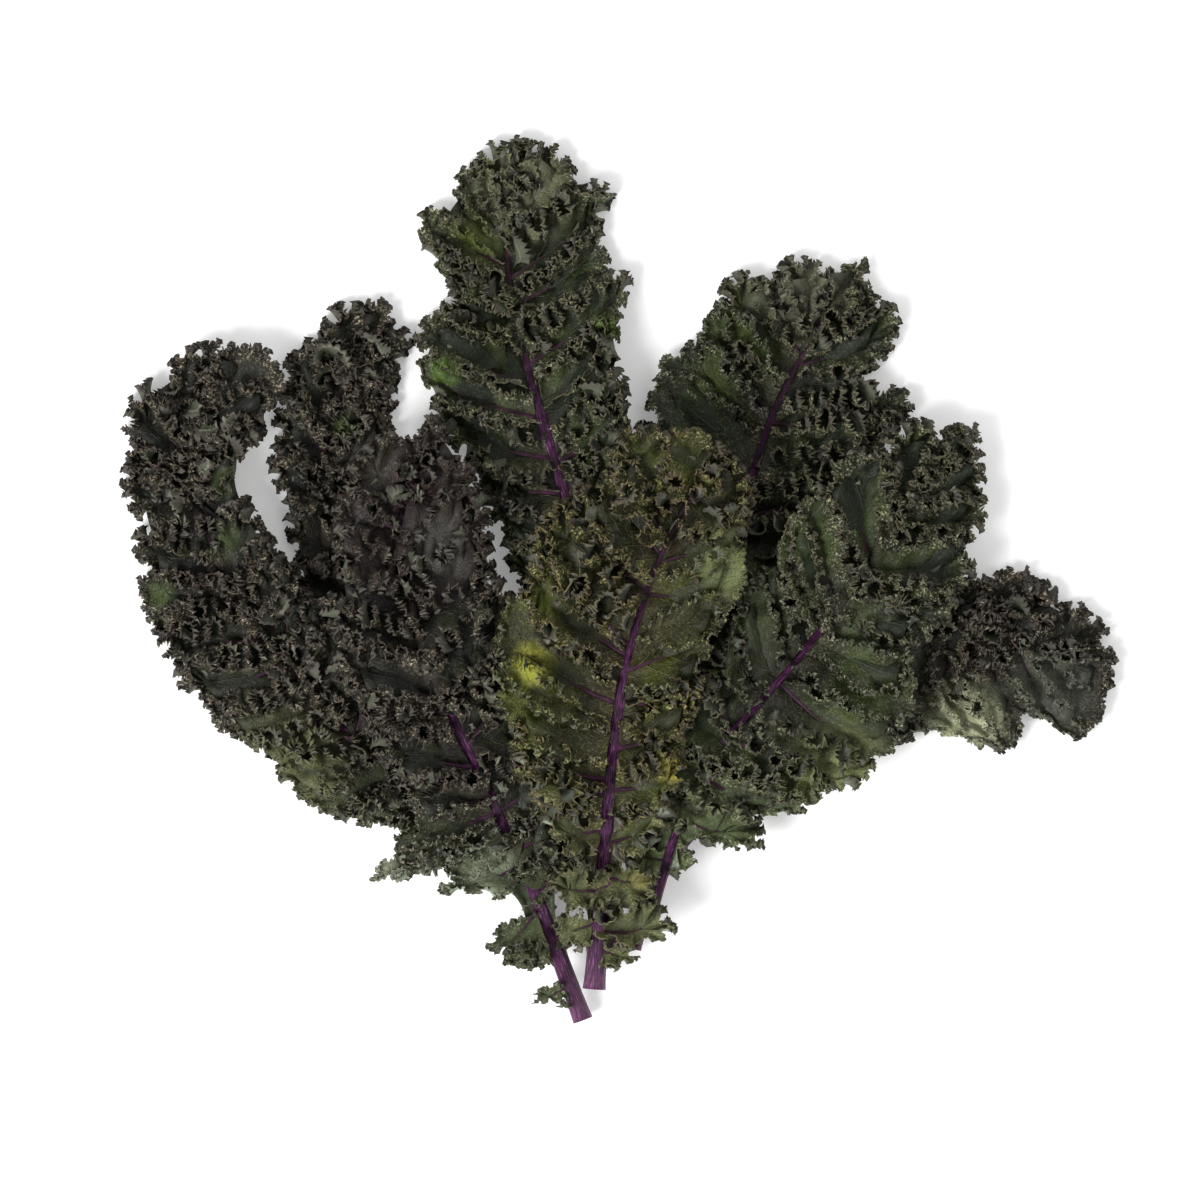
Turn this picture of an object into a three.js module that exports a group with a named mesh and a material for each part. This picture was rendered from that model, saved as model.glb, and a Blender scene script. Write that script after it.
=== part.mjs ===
// A bunch of curly purple kale, eight cut leaves laid on one another in a fan.
//
// Millimetres, +Z up. The bunch lies on the plane z = 0 with its cut stem ends towards -Y and its
// leaf tips towards +Y, and the origin is under the middle of its outline.
//
// Each leaf is two meshes: the purple petiole and midrib, and the curly blade, which is a thin sheet
// that runs down one side of the midrib, round its tip and back up the other side.
import * as THREE from "three";

// ---- Driving dimensions -------------------------------------------------------------------------

const BLADE_THICKNESS = 0.75; // of a blade, square to its surface
const DEEPEST_BLADE = 5; // limit of its upright depth, where it stands nearly on edge
const BLADE_TO_STEM = 0.4; // clear slit between a midrib and the blade on each side of it
const BLADE_ROUND_TIP = 1.2; // the same slit in front of the midrib's tip
const LEAF_CLEARANCE = 1.0; // between a leaf and the leaves under it
const REST_SINK = 1.6; // how far a ruffle is pressed flat where it meets the table

const RUFFLE_LENGTH = 26; // rim length of one ruffle
const RUFFLE_HEIGHT = 9.5; // from the middle of the sheet to a ruffle's crest
const RUFFLE_START = 1.6; // power of the growth of a ruffle from midrib to rim
const BLADE_RISE = 12; // how far the middle of the sheet has risen at the rim
const LOBE_LENGTH = 25; // rim length of one lobe of the outline
const LOBE_DEPTH = 0.16; // share of the reach that the notch between two lobes takes
const TOOTH_DEPTH = 1.5; // how far the teeth of the rim stand in and out
const RAY_BEND = 14; // degrees by which a side vein bends towards the tip on its way out

const RIM_STEP = 3.7; // spacing of the rim's points
const ROWS = [0, 0.3, 0.55, 0.8, 1]; // from midrib to rim, as shares of the reach
const ROW_THINNING = [4, 4, 2, 1, 1]; // each row keeps every nth of the rim's points

const STEM_SIDES = 8;
const STEM_STEP = 13; // spacing of a midrib's rings
const STEM_FLATNESS = 0.86; // height of a petiole over its width
const STEM_DROP = 0.3; // how far the midrib hangs under its blade, in radii

const CELL = 2.5; // grid on which the leaves are piled
const DRAPE_REACH = 30; // a leaf bends over what lies under it across this length

// ---- The leaves, in the order in which they are laid down ----------------------------------------
//
// spine: the midrib in plan, from the cut end to its tip. radius: of the petiole at its cut end and of
// the midrib at its tip. left and right: the blade's rays on each side, each as
// [share of the spine's length, degrees off the midrib, length of the ray].

const GREEN = { color: 0x3a4433, roughness: 0.62, metalness: 0 };
const PURPLE_GREEN = { color: 0x3d3a3a, roughness: 0.6, metalness: 0 };
const OLIVE = { color: 0x565832, roughness: 0.6, metalness: 0 };
const STEM_PURPLE = { color: 0x5c2260, roughness: 0.42, metalness: 0 };

const LEAVES = [
  {
    name: "far_right",
    finish: PURPLE_GREEN,
    seed: 8,
    spine: [[13, -146], [26, -122], [52, -97], [88, -72], [128, -52], [166, -37], [193, -34]],
    radius: [3.6, 0.8],
    left: [[0.3, 85, 8], [0.42, 72, 30], [0.6, 62, 40], [0.78, 60, 44], [0.92, 46, 40], [1, 0, 27]],
    right: [
      [0.3, 85, 8], [0.42, 72, 18], [0.6, 72, 28], [0.7, 84, 40], [0.76, 84, 46],
      [0.86, 76, 34], [0.94, 68, 45], [0.98, 46, 35], [1, 0, 27],
    ],
  },
  {
    name: "upper_right",
    finish: GREEN,
    seed: 6,
    spine: [
      [4, -175], [14, -136], [27, -86], [39, -37], [52, 17], [66, 65], [76, 88], [86, 107],
      [93, 119],
    ],
    radius: [4.2, 0.8],
    left: [
      [0.4, 90, 8], [0.5, 76, 42], [0.64, 74, 66], [0.78, 80, 62],
      [0.85, 82, 49], [0.92, 74, 48], [0.97, 56, 32], [1, 0, 23],
    ],
    right: [
      [0.4, 90, 8], [0.5, 74, 32], [0.64, 70, 50], [0.82, 70, 57],
      [0.89, 60, 47], [0.95, 43, 40], [1, 0, 23],
    ],
  },
  {
    name: "left_middle",
    finish: PURPLE_GREEN,
    seed: 2,
    spine: [
      [-24, -167], [-51, -122], [-80, -75], [-105, -28], [-122, 17], [-130, 53], [-124, 83],
      [-115, 103],
    ],
    radius: [3.8, 0.8],
    left: [
      [0.36, 90, 6], [0.5, 74, 26], [0.64, 68, 32], [0.78, 62, 32],
      [0.9, 55, 36], [0.97, 38, 28], [1, 0, 23],
    ],
    right: [
      [0.36, 90, 6], [0.5, 74, 28], [0.64, 68, 36], [0.78, 62, 38],
      [0.9, 52, 31], [0.97, 34, 32], [1, 0, 23],
    ],
  },
  {
    name: "top_centre",
    finish: GREEN,
    seed: 4,
    spine: [
      [-3, -178], [-6, -136], [-8, -82], [-14, -23], [-22, 29], [-33, 67], [-43, 105],
      [-50, 143], [-47, 172],
    ],
    radius: [4.2, 0.8],
    left: [
      [0.36, 90, 8], [0.48, 74, 30], [0.58, 68, 42], [0.68, 66, 52],
      [0.8, 64, 48], [0.91, 58, 42], [0.97, 36, 34], [1, 0, 26],
    ],
    right: [
      [0.36, 90, 8], [0.48, 78, 30], [0.58, 76, 40], [0.68, 76, 50],
      [0.78, 76, 57], [0.88, 72, 58], [0.95, 60, 46], [1, 0, 26],
    ],
  },
  {
    name: "far_left",
    finish: PURPLE_GREEN,
    seed: 1,
    spine: [
      [-30, -150], [-62, -120], [-98, -90], [-130, -61], [-158, -25], [-182, 15], [-193, 49],
      [-189, 78],
    ],
    radius: [3.8, 0.8],
    left: [
      [0.1, 90, 6], [0.18, 100, 22], [0.24, 104, 36], [0.29, 92, 27], [0.37, 78, 33], [0.47, 74, 40],
      [0.6, 72, 46], [0.74, 66, 41], [0.86, 60, 31], [0.96, 42, 33], [1, 0, 28],
    ],
    right: [
      [0.2, 90, 6], [0.32, 76, 30], [0.46, 70, 38], [0.6, 64, 38],
      [0.74, 62, 36], [0.84, 74, 35], [0.93, 62, 41], [1, 0, 28],
    ],
  },
  {
    name: "right_middle",
    finish: GREEN,
    seed: 7,
    spine: [
      [11, -163], [21, -127], [33, -96], [49, -70], [66, -52], [91, -22], [113, 7], [132, 34],
      [142, 47],
    ],
    radius: [4, 0.8],
    left: [
      [0.2, 90, 8], [0.34, 72, 26], [0.5, 68, 44], [0.66, 66, 54],
      [0.8, 62, 52], [0.92, 46, 42], [1, 0, 21],
    ],
    right: [
      [0.13, 90, 8], [0.21, 112, 36], [0.3, 96, 46], [0.4, 92, 52], [0.52, 88, 62],
      [0.62, 84, 48], [0.7, 80, 42], [0.78, 80, 40], [0.87, 80, 42], [0.94, 66, 37], [1, 0, 21],
    ],
  },
  {
    name: "purple_crest",
    finish: PURPLE_GREEN,
    seed: 3,
    spine: [
      [-16, -198], [-36, -144], [-52, -108], [-70, -70], [-85, -34], [-95, -1], [-97, 26],
      [-89, 49],
    ],
    radius: [4.6, 0.8],
    left: [
      [0.03, 92, 3], [0.045, 104, 10], [0.06, 98, 15], [0.078, 90, 10], [0.098, 90, 5],
      [0.125, 96, 13], [0.16, 104, 24], [0.2, 106, 29], [0.23, 98, 26], [0.26, 97, 19],
      [0.29, 100, 27], [0.325, 100, 39], [0.37, 90, 37], [0.42, 80, 38],
      [0.5, 74, 42], [0.62, 70, 44], [0.76, 64, 40], [0.9, 54, 34], [1, 0, 24],
    ],
    right: [
      [0.22, 90, 4], [0.33, 88, 20], [0.45, 76, 34], [0.6, 72, 47],
      [0.74, 68, 53], [0.86, 60, 48], [0.95, 42, 35], [1, 0, 24],
    ],
  },
  {
    name: "centre_olive",
    finish: OLIVE,
    seed: 5,
    spine: [
      [-11, -183], [-8, -145], [-6, -118], [-3, -82], [1, -50], [7, -23], [16, 4], [28, 29],
      [34, 40],
    ],
    radius: [4.8, 0.8],
    left: [
      [0.06, 90, 1.6], [0.1, 100, 12], [0.18, 84, 20], [0.24, 84, 17],
      [0.32, 88, 34], [0.42, 84, 51], [0.54, 76, 60], [0.68, 70, 62],
      [0.8, 62, 54], [0.91, 50, 48], [1, 0, 24],
    ],
    right: [
      [0.06, 90, 1.6], [0.1, 110, 17], [0.15, 98, 34], [0.2, 76, 26], [0.26, 84, 15],
      [0.34, 84, 31], [0.44, 78, 36], [0.56, 72, 42], [0.7, 68, 46],
      [0.82, 62, 44], [0.92, 50, 40], [1, 0, 24],
    ],
  },
];

// ---- Small helpers ------------------------------------------------------------------------------

const { lerp, degToRad, smoothstep } = THREE.MathUtils;

/** A repeatable number from 0 to 1 for a whole number and a seed. */
function chance(index, seed) {
  const x = Math.sin(index * 127.1 + seed * 311.7) * 43758.5453;
  return x - Math.floor(x);
}

/** Smooth repeatable noise from -1 to 1 along a line. */
function wander(x, seed) {
  const cell = Math.floor(x);
  return lerp(chance(cell, seed), chance(cell + 1, seed), smoothstep(x - cell, 0, 1)) * 2 - 1;
}

// ---- A leaf's plan ------------------------------------------------------------------------------

/** The midrib of a leaf in plan: points, directions and thickness along its length. */
class Midrib {
  constructor({ spine, radius }) {
    this.curve = new THREE.CatmullRomCurve3(
      spine.map(([x, y]) => new THREE.Vector3(x, y, 0)),
      false,
      "catmullrom",
    );
    this.length = this.curve.getLength();
    this.radius = radius;
  }

  /** The point, the direction along and the direction to the left at a share of the length. */
  at(share) {
    const point = this.curve.getPointAt(share);
    const along = this.curve.getTangentAt(share);
    return { point, along, left: new THREE.Vector3(-along.y, along.x, 0) };
  }

  /** Half the midrib's width there: it swells to its cut end and thins to its tip. */
  radiusAt(share) {
    const [cut, tip] = this.radius;
    return lerp(cut, tip, share ** 0.8) + 0.9 * Math.max(0, 1 - share / 0.08) ** 2;
  }
}

/** One side of a blade: side is 1 to the left of the midrib and -1 to the right. */
class BladeSide {
  constructor(midrib, rays, side, seed) {
    Object.assign(this, { midrib, rays, side, seed: seed * 10 + side });
    const ends = rays.map((ray) => this.rayPoint(...ray, 1));
    this.rimAt = [0];
    for (let i = 1; i < ends.length; i++)
      this.rimAt.push(this.rimAt[i - 1] + ends[i].distanceTo(ends[i - 1]));
    this.rim = this.rimAt.at(-1);
    this.stations = 4 * Math.round(this.rim / RIM_STEP / 4);
  }

  /** A point in plan on a ray, a share of the way out from the midrib. */
  rayPoint(share, angle, reach, out, roundTip = false) {
    const { point, along, left } = this.midrib.at(share);
    const sideways = left.multiplyScalar(this.side);
    const turned = degToRad(angle * (1 - (RAY_BEND / 90) * out));
    const root = roundTip
      ? point.addScaledVector(along, BLADE_ROUND_TIP)
      : point.addScaledVector(sideways, this.midrib.radiusAt(share) + BLADE_TO_STEM);
    return root
      .addScaledVector(along, out * reach * Math.cos(turned))
      .addScaledVector(sideways, out * reach * Math.sin(turned));
  }

  /** The ray at a length along the rim, between the given rays by a Catmull-Rom curve. */
  ray(rimLength) {
    const { rays, rimAt } = this;
    let i = 0;
    while (i < rays.length - 2 && rimLength > rimAt[i + 1]) i++;
    const t = (rimLength - rimAt[i]) / (rimAt[i + 1] - rimAt[i]);
    const [a, b, c, d] = [i - 1, i, i + 1, i + 2].map(
      (k) => rays[Math.min(Math.max(k, 0), rays.length - 1)],
    );
    return b.map((_, k) => {
      const [ta, tb] = [(c[k] - a[k]) / 2, (d[k] - b[k]) / 2];
      const bend = 3 * (c[k] - b[k]) - 2 * ta - tb;
      const twist = 2 * (b[k] - c[k]) + ta + tb;
      const value = b[k] + t * (ta + t * (bend + t * twist));
      return Math.min(Math.max(value, Math.min(b[k], c[k])), Math.max(b[k], c[k]));
    });
  }

  /** The blade's point at a station of the rim, from 0 at the petiole to the tip, and a share out. */
  point(station, out) {
    const rimLength = (this.rim * station) / this.stations;
    const [share, angle, reach] = this.ray(rimLength);
    const lobe = Math.abs(Math.sin((Math.PI * rimLength) / LOBE_LENGTH + this.seed));
    const notched = reach * (1 - LOBE_DEPTH * out * (1 - lobe) ** 1.5);
    const tooth = (station % 2 ? 1 : -1) * TOOTH_DEPTH * 0.5 * Math.min(1, reach / 20) * out ** 6;
    const besideTip = out === 0 && station >= this.stations - ROW_THINNING[0];
    const planned = this.rayPoint(
      besideTip ? 1 : share,
      angle,
      notched + tooth,
      out,
      station === this.stations,
    );
    planned.z = this.height(rimLength, reach, out);
    return planned;
  }

  /** The height of the blade over its midrib before the leaf is laid down. */
  height(rimLength, reach, out) {
    const fromTip = Math.min(1, (this.rim - rimLength) / RUFFLE_LENGTH);
    const phase = (2 * Math.PI * (this.rim - rimLength)) / RUFFLE_LENGTH;
    const uneven = 1 + 0.15 * wander(rimLength / 17, this.seed);
    const wave = Math.sin(phase * this.side + 0.8 * fromTip * wander(rimLength / 40, this.seed + 3));
    const wide = Math.min(1, reach / 26);
    const ruffle = RUFFLE_HEIGHT * uneven * wide * wave * out ** RUFFLE_START;
    return ruffle + BLADE_RISE * wide * Math.sin((Math.PI / 2) * out);
  }
}

// ---- A leaf's solids ----------------------------------------------------------------------------

/** The blade as an upper sheet: its points, its triangles and its outline, before it is laid down. */
function bladeSheet(leaf, midrib) {
  const left = new BladeSide(midrib, leaf.left, 1, leaf.seed);
  const right = new BladeSide(midrib, leaf.right, -1, leaf.seed);
  const around = left.stations + right.stations;
  const points = [];
  const rows = ROWS.map((out, row) => {
    const ring = [];
    for (let i = 0; i <= around; i += ROW_THINNING[row]) {
      ring.push(points.length);
      points.push(
        i <= left.stations ? left.point(i, out) : right.point(around - i, out),
      );
    }
    return ring;
  });
  const triangles = [];
  for (let row = 1; row < rows.length; row++) {
    const [inner, outer] = [rows[row - 1], rows[row]];
    const step = (outer.length - 1) / (inner.length - 1);
    for (let i = 0; i < inner.length - 1; i++) {
      const [a, b] = [inner[i], inner[i + 1]];
      const fan = outer.slice(i * step, i * step + step + 1);
      const middle = Math.ceil(step / 2);
      for (let k = 0; k < step; k++)
        triangles.push([k < middle ? a : b, fan[k + 1], fan[k]]);
      triangles.push([a, b, fan[middle]]);
    }
  }
  const outline = [
    ...rows[0],
    ...rows.slice(1).map((ring) => ring.at(-1)),
    ...rows.at(-1).toReversed().slice(1),
    ...rows.slice(1, -1).toReversed().map((ring) => ring[0]),
  ];
  return { points, triangles, outline, depths: uprightDepths(points, triangles) };
}

/** The upright depth at each point that makes every triangle round it BLADE_THICKNESS thick. */
function uprightDepths(points, triangles) {
  const depths = points.map(() => BLADE_THICKNESS);
  const normal = new THREE.Vector3();
  for (const corners of triangles) {
    THREE.Triangle.getNormal(...corners.map((i) => points[i]), normal);
    const depth = Math.min(BLADE_THICKNESS / Math.abs(normal.z), DEEPEST_BLADE);
    for (const i of corners) depths[i] = Math.max(depths[i], depth);
  }
  return depths;
}

/** The closed shell between a sheet and the same sheet lower down, pressed flat on the table. */
function bladeGeometry({ points, triangles, outline, depths }, lift) {
  const count = points.length;
  const position = new Float32Array(count * 6);
  points.forEach((point, i) => {
    const under = Math.max(0, point.z + lift(point.x, point.y) - depths[i] / 2);
    position.set([point.x, point.y, under + depths[i]], 3 * i);
    position.set([point.x, point.y, under], 3 * (count + i));
  });
  const index = [];
  for (const [a, b, c] of triangles) index.push(a, b, c, count + c, count + b, count + a);
  outline.forEach((from, i) => {
    const to = outline[(i + 1) % outline.length];
    index.push(from, count + to, to, from, count + from, count + to);
  });
  return new THREE.BufferGeometry()
    .setAttribute("position", new THREE.BufferAttribute(position, 3))
    .setIndex(index);
}

/** The petiole and midrib: a cylinder bent along the spine, thinning to its tip. */
function stemGeometry(midrib) {
  const steps = Math.round(midrib.length / STEM_STEP);
  const geometry = new THREE.CylinderGeometry(1, 1, 1, STEM_SIDES, steps);
  const position = geometry.getAttribute("position");
  const vertex = new THREE.Vector3();
  for (let i = 0; i < position.count; i++) {
    vertex.fromBufferAttribute(position, i);
    const share = Math.min(Math.max(vertex.y + 0.5, 0), 1);
    const { point, left } = midrib.at(share);
    const radius = midrib.radiusAt(share);
    point.addScaledVector(left, -radius * vertex.x);
    point.z = radius * (STEM_FLATNESS * vertex.z - STEM_DROP);
    position.setXYZ(i, point.x, point.y, point.z);
  }
  return geometry;
}

// ---- Laying the leaves on one another -----------------------------------------------------------

/** The height of the pile so far on a grid, and the lift that lays the next leaf on it. */
class Pile {
  constructor(halfWidth, halfLength) {
    this.nx = 2 * Math.ceil(halfWidth / CELL) + 1;
    this.ny = 2 * Math.ceil(halfLength / CELL) + 1;
    this.top = this.grid(0);
  }

  grid(value) {
    return new Float64Array(this.nx * this.ny).fill(value);
  }

  /** Calls visit(cell, z) for every grid point that a triangle covers in plan, and at its corners. */
  cover([a, b, c], visit) {
    const toGrid = ({ x, y }) => [x / CELL + (this.nx - 1) / 2, y / CELL + (this.ny - 1) / 2];
    const [[ax, ay], [bx, by], [cx, cy]] = [a, b, c].map(toGrid);
    for (const corner of [a, b, c]) {
      const [x, y] = toGrid(corner).map(Math.round);
      visit(y * this.nx + x, corner.z);
    }
    const area = (bx - ax) * (cy - ay) - (cx - ax) * (by - ay);
    if (Math.abs(area) < 1e-9) return;
    for (let y = Math.ceil(Math.min(ay, by, cy)); y <= Math.max(ay, by, cy); y++)
      for (let x = Math.ceil(Math.min(ax, bx, cx)); x <= Math.max(ax, bx, cx); x++) {
        const u = ((bx - x) * (cy - y) - (cx - x) * (by - y)) / area;
        const v = ((cx - x) * (ay - y) - (ax - x) * (cy - y)) / area;
        if (u >= 0 && v >= 0 && u + v <= 1)
          visit(y * this.nx + x, u * a.z + v * b.z + (1 - u - v) * c.z);
      }
  }

  /** Runs a window of the given reach over a grid, along x and then along y. */
  sweep(values, reach, join) {
    let from = values;
    for (const [stride, length, lines, lineStride] of [
      [1, this.nx, this.ny, this.nx],
      [this.nx, this.ny, this.nx, 1],
    ]) {
      const to = this.grid(0);
      for (let line = 0; line < lines; line++)
        for (let i = 0; i < length; i++) {
          const window = [];
          for (let k = Math.max(0, i - reach); k <= Math.min(length - 1, i + reach); k++)
            window.push(from[line * lineStride + k * stride]);
          to[line * lineStride + i * stride] = join(window);
        }
      from = to;
    }
    return from;
  }

  /** A smooth function of x and y that lifts these triangles clear of the pile. */
  liftOver(triangles) {
    const highest = (window) => Math.max(...window);
    const mean = (window) => window.reduce((sum, value) => sum + value, 0) / window.length;
    const under = this.grid(Infinity);
    for (const triangle of triangles)
      this.cover(triangle, (cell, z) => (under[cell] = Math.min(under[cell], z)));
    const ground = this.sweep(this.top, 1, highest);
    const need = under.map((z, cell) => {
      if (z === Infinity) return -Infinity;
      return (ground[cell] > 0 ? ground[cell] + LEAF_CLEARANCE : -REST_SINK) - z;
    });
    const reach = Math.round(DRAPE_REACH / CELL);
    const half = Math.floor(reach / 2);
    const raised = this.sweep(need, reach, highest).map((z) => Math.max(z, 0));
    const lift = this.sweep(this.sweep(raised, half, mean), half, mean);
    return (x, y) => {
      const [gx, gy] = [x / CELL + (this.nx - 1) / 2, y / CELL + (this.ny - 1) / 2];
      const [ix, iy] = [Math.floor(gx), Math.floor(gy)];
      const row = (k) => lerp(lift[k * this.nx + ix], lift[k * this.nx + ix + 1], gx - ix);
      return lerp(row(iy), row(iy + 1), gy - iy);
    };
  }

  /** Adds triangles, as they lie, to the pile. */
  add(triangles) {
    for (const triangle of triangles)
      this.cover(triangle, (cell, z) => (this.top[cell] = Math.max(this.top[cell], z)));
  }
}

/** The triangles of an indexed geometry as triples of points. */
function trianglesOf(geometry) {
  const position = geometry.getAttribute("position");
  const { array } = geometry.getIndex();
  const corner = (i) => new THREE.Vector3().fromBufferAttribute(position, array[i]);
  return Array.from({ length: array.length / 3 }, (_, t) => [0, 1, 2].map((k) => corner(3 * t + k)));
}

/** A leaf laid on the pile: a group of its stem and its blade. */
function layLeaf(leaf, pile) {
  const midrib = new Midrib(leaf);
  const sheet = bladeSheet(leaf, midrib);
  const stem = stemGeometry(midrib);
  const lowered = sheet.points.map((point, i) =>
    point.clone().setZ(point.z - sheet.depths[i] / 2),
  );
  const underside = sheet.triangles.map((triangle) => triangle.map((i) => lowered[i]));
  const lift = pile.liftOver([...underside, ...trianglesOf(stem)]);

  const position = stem.getAttribute("position");
  for (let i = 0; i < position.count; i++) {
    const [x, y, z] = [position.getX(i), position.getY(i), position.getZ(i)];
    position.setZ(i, Math.max(0, z + lift(x, y)));
  }
  const blade = bladeGeometry(sheet, lift);
  pile.add([...trianglesOf(blade), ...trianglesOf(stem)]);

  const group = new THREE.Group();
  for (const [part, geometry, finish] of [
    ["stem", stem, STEM_PURPLE],
    ["blade", blade, leaf.finish],
  ]) {
    geometry.computeVertexNormals();
    const mesh = new THREE.Mesh(geometry, new THREE.MeshStandardMaterial(finish));
    mesh.name = `${leaf.name}_${part}`;
    group.add(mesh);
  }
  return group;
}

const bunch = new THREE.Group();
const pile = new Pile(260, 240);
for (const leaf of LEAVES) bunch.add(layLeaf(leaf, pile));

export default bunch;
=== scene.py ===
"""Looks of a bunch of curly purple kale: eight cut leaves that lie on one another in a fan.

The blade of a leaf is a smooth web beside its midrib with many lobes on it. Each lobe is a strip
that fans out round its own side vein. The outer part of the strip is folded, then crimped, and its
rim is cut into small teeth. The petiole, midrib and raised side veins of a leaf are one more piece.
"""

import logging
from dataclasses import dataclass, field
from enum import Enum

import bmesh
import bpy
import numpy as np
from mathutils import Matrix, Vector


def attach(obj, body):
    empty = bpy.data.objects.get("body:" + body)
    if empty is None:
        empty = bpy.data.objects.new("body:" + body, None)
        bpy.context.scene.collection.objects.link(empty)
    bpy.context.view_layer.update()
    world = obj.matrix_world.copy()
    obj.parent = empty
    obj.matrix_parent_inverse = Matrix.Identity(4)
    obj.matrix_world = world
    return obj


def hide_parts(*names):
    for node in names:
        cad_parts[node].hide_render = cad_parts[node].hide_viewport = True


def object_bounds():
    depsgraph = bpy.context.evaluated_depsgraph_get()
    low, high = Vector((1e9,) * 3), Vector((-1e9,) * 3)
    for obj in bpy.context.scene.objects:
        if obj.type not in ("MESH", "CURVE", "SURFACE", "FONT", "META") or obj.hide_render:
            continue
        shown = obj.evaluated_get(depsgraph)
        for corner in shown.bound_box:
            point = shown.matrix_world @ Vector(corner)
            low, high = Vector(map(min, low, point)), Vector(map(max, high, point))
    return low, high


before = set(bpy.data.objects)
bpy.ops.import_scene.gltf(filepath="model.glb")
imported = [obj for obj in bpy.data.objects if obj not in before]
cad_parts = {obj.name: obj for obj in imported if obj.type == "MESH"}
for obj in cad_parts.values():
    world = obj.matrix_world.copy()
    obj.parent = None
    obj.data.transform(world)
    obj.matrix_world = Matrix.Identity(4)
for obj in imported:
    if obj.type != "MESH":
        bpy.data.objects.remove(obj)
CAD_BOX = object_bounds()

LOG = logging.getLogger("kale")
MM = 0.001
RIM_MARGIN = 0.3
TINY = 1e-9

Ray = tuple[float, float, float]
Point = tuple[float, float]
Colour = tuple[float, float, float]
Socket = bpy.types.NodeSocket


# ---- Repeatable noise ---------------------------------------------------------------------------


def chance(index: np.ndarray, seed: float) -> np.ndarray:
    """A repeatable number from 0 to 1 for every whole number, in a series for every seed."""
    value = np.sin(index * 127.1 + seed * 311.7) * 43758.5453
    return value - np.floor(value)


def pick(number: float, seed: float) -> float:
    """A repeatable number from 0 to 1 for one whole number."""
    return float(chance(np.array(number), seed))


def wander(x: np.ndarray, seed: float) -> np.ndarray:
    """Smooth repeatable noise from -1 to 1 along a line.

    Args:
        x: Where along the line, one step to a random value.
        seed: Which line.

    Returns:
        The noise there.
    """
    cell = np.floor(x)
    ease = (x - cell) ** 2 * (3 - 2 * (x - cell))
    return (chance(cell, seed) * (1 - ease) + chance(cell + 1, seed) * ease) * 2 - 1


# ---- Lines and outlines -------------------------------------------------------------------------


def unit(vectors: np.ndarray) -> np.ndarray:
    """Vectors of length one in the same directions."""
    return vectors / np.maximum(np.linalg.norm(vectors, axis=-1, keepdims=True), TINY)


def ramp(x: np.ndarray, low: float, high: float) -> np.ndarray:
    """A smooth step from 0 at low to 1 at high."""
    share = np.clip((x - low) / (high - low), 0, 1)
    return share**2 * (3 - 2 * share)


def run_of(points: np.ndarray) -> np.ndarray:
    """Lengths along a line of points, from 0 at its first point."""
    return np.concatenate([[0], np.cumsum(np.linalg.norm(np.diff(points, axis=0), axis=1))])


def curve(t: np.ndarray, a: np.ndarray, b: np.ndarray, c: np.ndarray, d: np.ndarray) -> np.ndarray:
    """A smooth curve from b to c.

    Args:
        t: Shares of the way from b to c.
        a: Point before b.
        b: Where the curve starts.
        c: Where it ends.
        d: Point after c.

    Returns:
        Points on the curve.
    """
    into, out = (c - a) / 2, (d - b) / 2
    return b + t * (into + t * (3 * (c - b) - 2 * into - out + t * (2 * (b - c) + into + out)))


def inside(points: np.ndarray, outline: np.ndarray) -> np.ndarray:
    """Whether points in plan lie inside a closed outline.

    Args:
        points: Points along the first axes, and two numbers each.
        outline: The outline's corners in order.

    Returns:
        True or False for each point.
    """
    x, y = points[..., 0, None], points[..., 1, None]
    (ax, ay), (bx, by) = outline.T, np.roll(outline, -1, axis=0).T
    level = np.where(by == ay, TINY, by - ay)
    crossed = ((ay > y) != (by > y)) & (x < (bx - ax) * (y - ay) / level + ax)
    return crossed.sum(-1) % 2 == 1


# ---- Mesh work ----------------------------------------------------------------------------------


def extrude(
    bm: bmesh.types.BMesh, edges: list[bmesh.types.BMEdge], step: tuple[float, float, float]
) -> list[bmesh.types.BMEdge]:
    """Extrudes edges by one step.

    Args:
        bm: Where the edges are.
        edges: The edges to extrude.
        step: How far and in which direction.

    Returns:
        The edges at the far side.
    """
    grown = bmesh.ops.extrude_edge_only(bm, edges=edges)["geom"]
    fresh = {v for v in grown if isinstance(v, bmesh.types.BMVert)}
    bmesh.ops.translate(bm, verts=list(fresh), vec=step)
    return [e for e in grown if isinstance(e, bmesh.types.BMEdge) and fresh.issuperset(e.verts)]


def finish_mesh(bm: bmesh.types.BMesh, name: str) -> bpy.types.Mesh:
    """Makes a mesh of what was built, and frees the bmesh.

    Args:
        bm: What was built.
        name: The mesh's name.

    Returns:
        The mesh.
    """
    mesh = bpy.data.meshes.new(name)
    bm.to_mesh(mesh)
    bm.free()
    return mesh


def read_points(mesh: bpy.types.Mesh) -> np.ndarray:
    """Reads the points of a mesh.

    Args:
        mesh: The mesh.

    Returns:
        Its points, three numbers each.
    """
    points = np.zeros(len(mesh.vertices) * 3)
    mesh.vertices.foreach_get("co", points)
    return points.reshape(-1, 3)


def shape_mesh(mesh: bpy.types.Mesh, points: np.ndarray, values: dict[str, np.ndarray]) -> None:
    """Moves the points of a mesh to their places and keeps a few values on each.

    Args:
        mesh: The mesh.
        points: Places in millimetres.
        values: Values for each point, under the names that the finishes read.
    """
    mesh.vertices.foreach_set("co", (points * MM).ravel())
    for name, numbers in values.items():
        layer = mesh.attributes.new(name, "FLOAT", "POINT")
        layer.data.foreach_set("value", numbers.astype(np.float32))
    mesh.shade_smooth()
    mesh.update()


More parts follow.
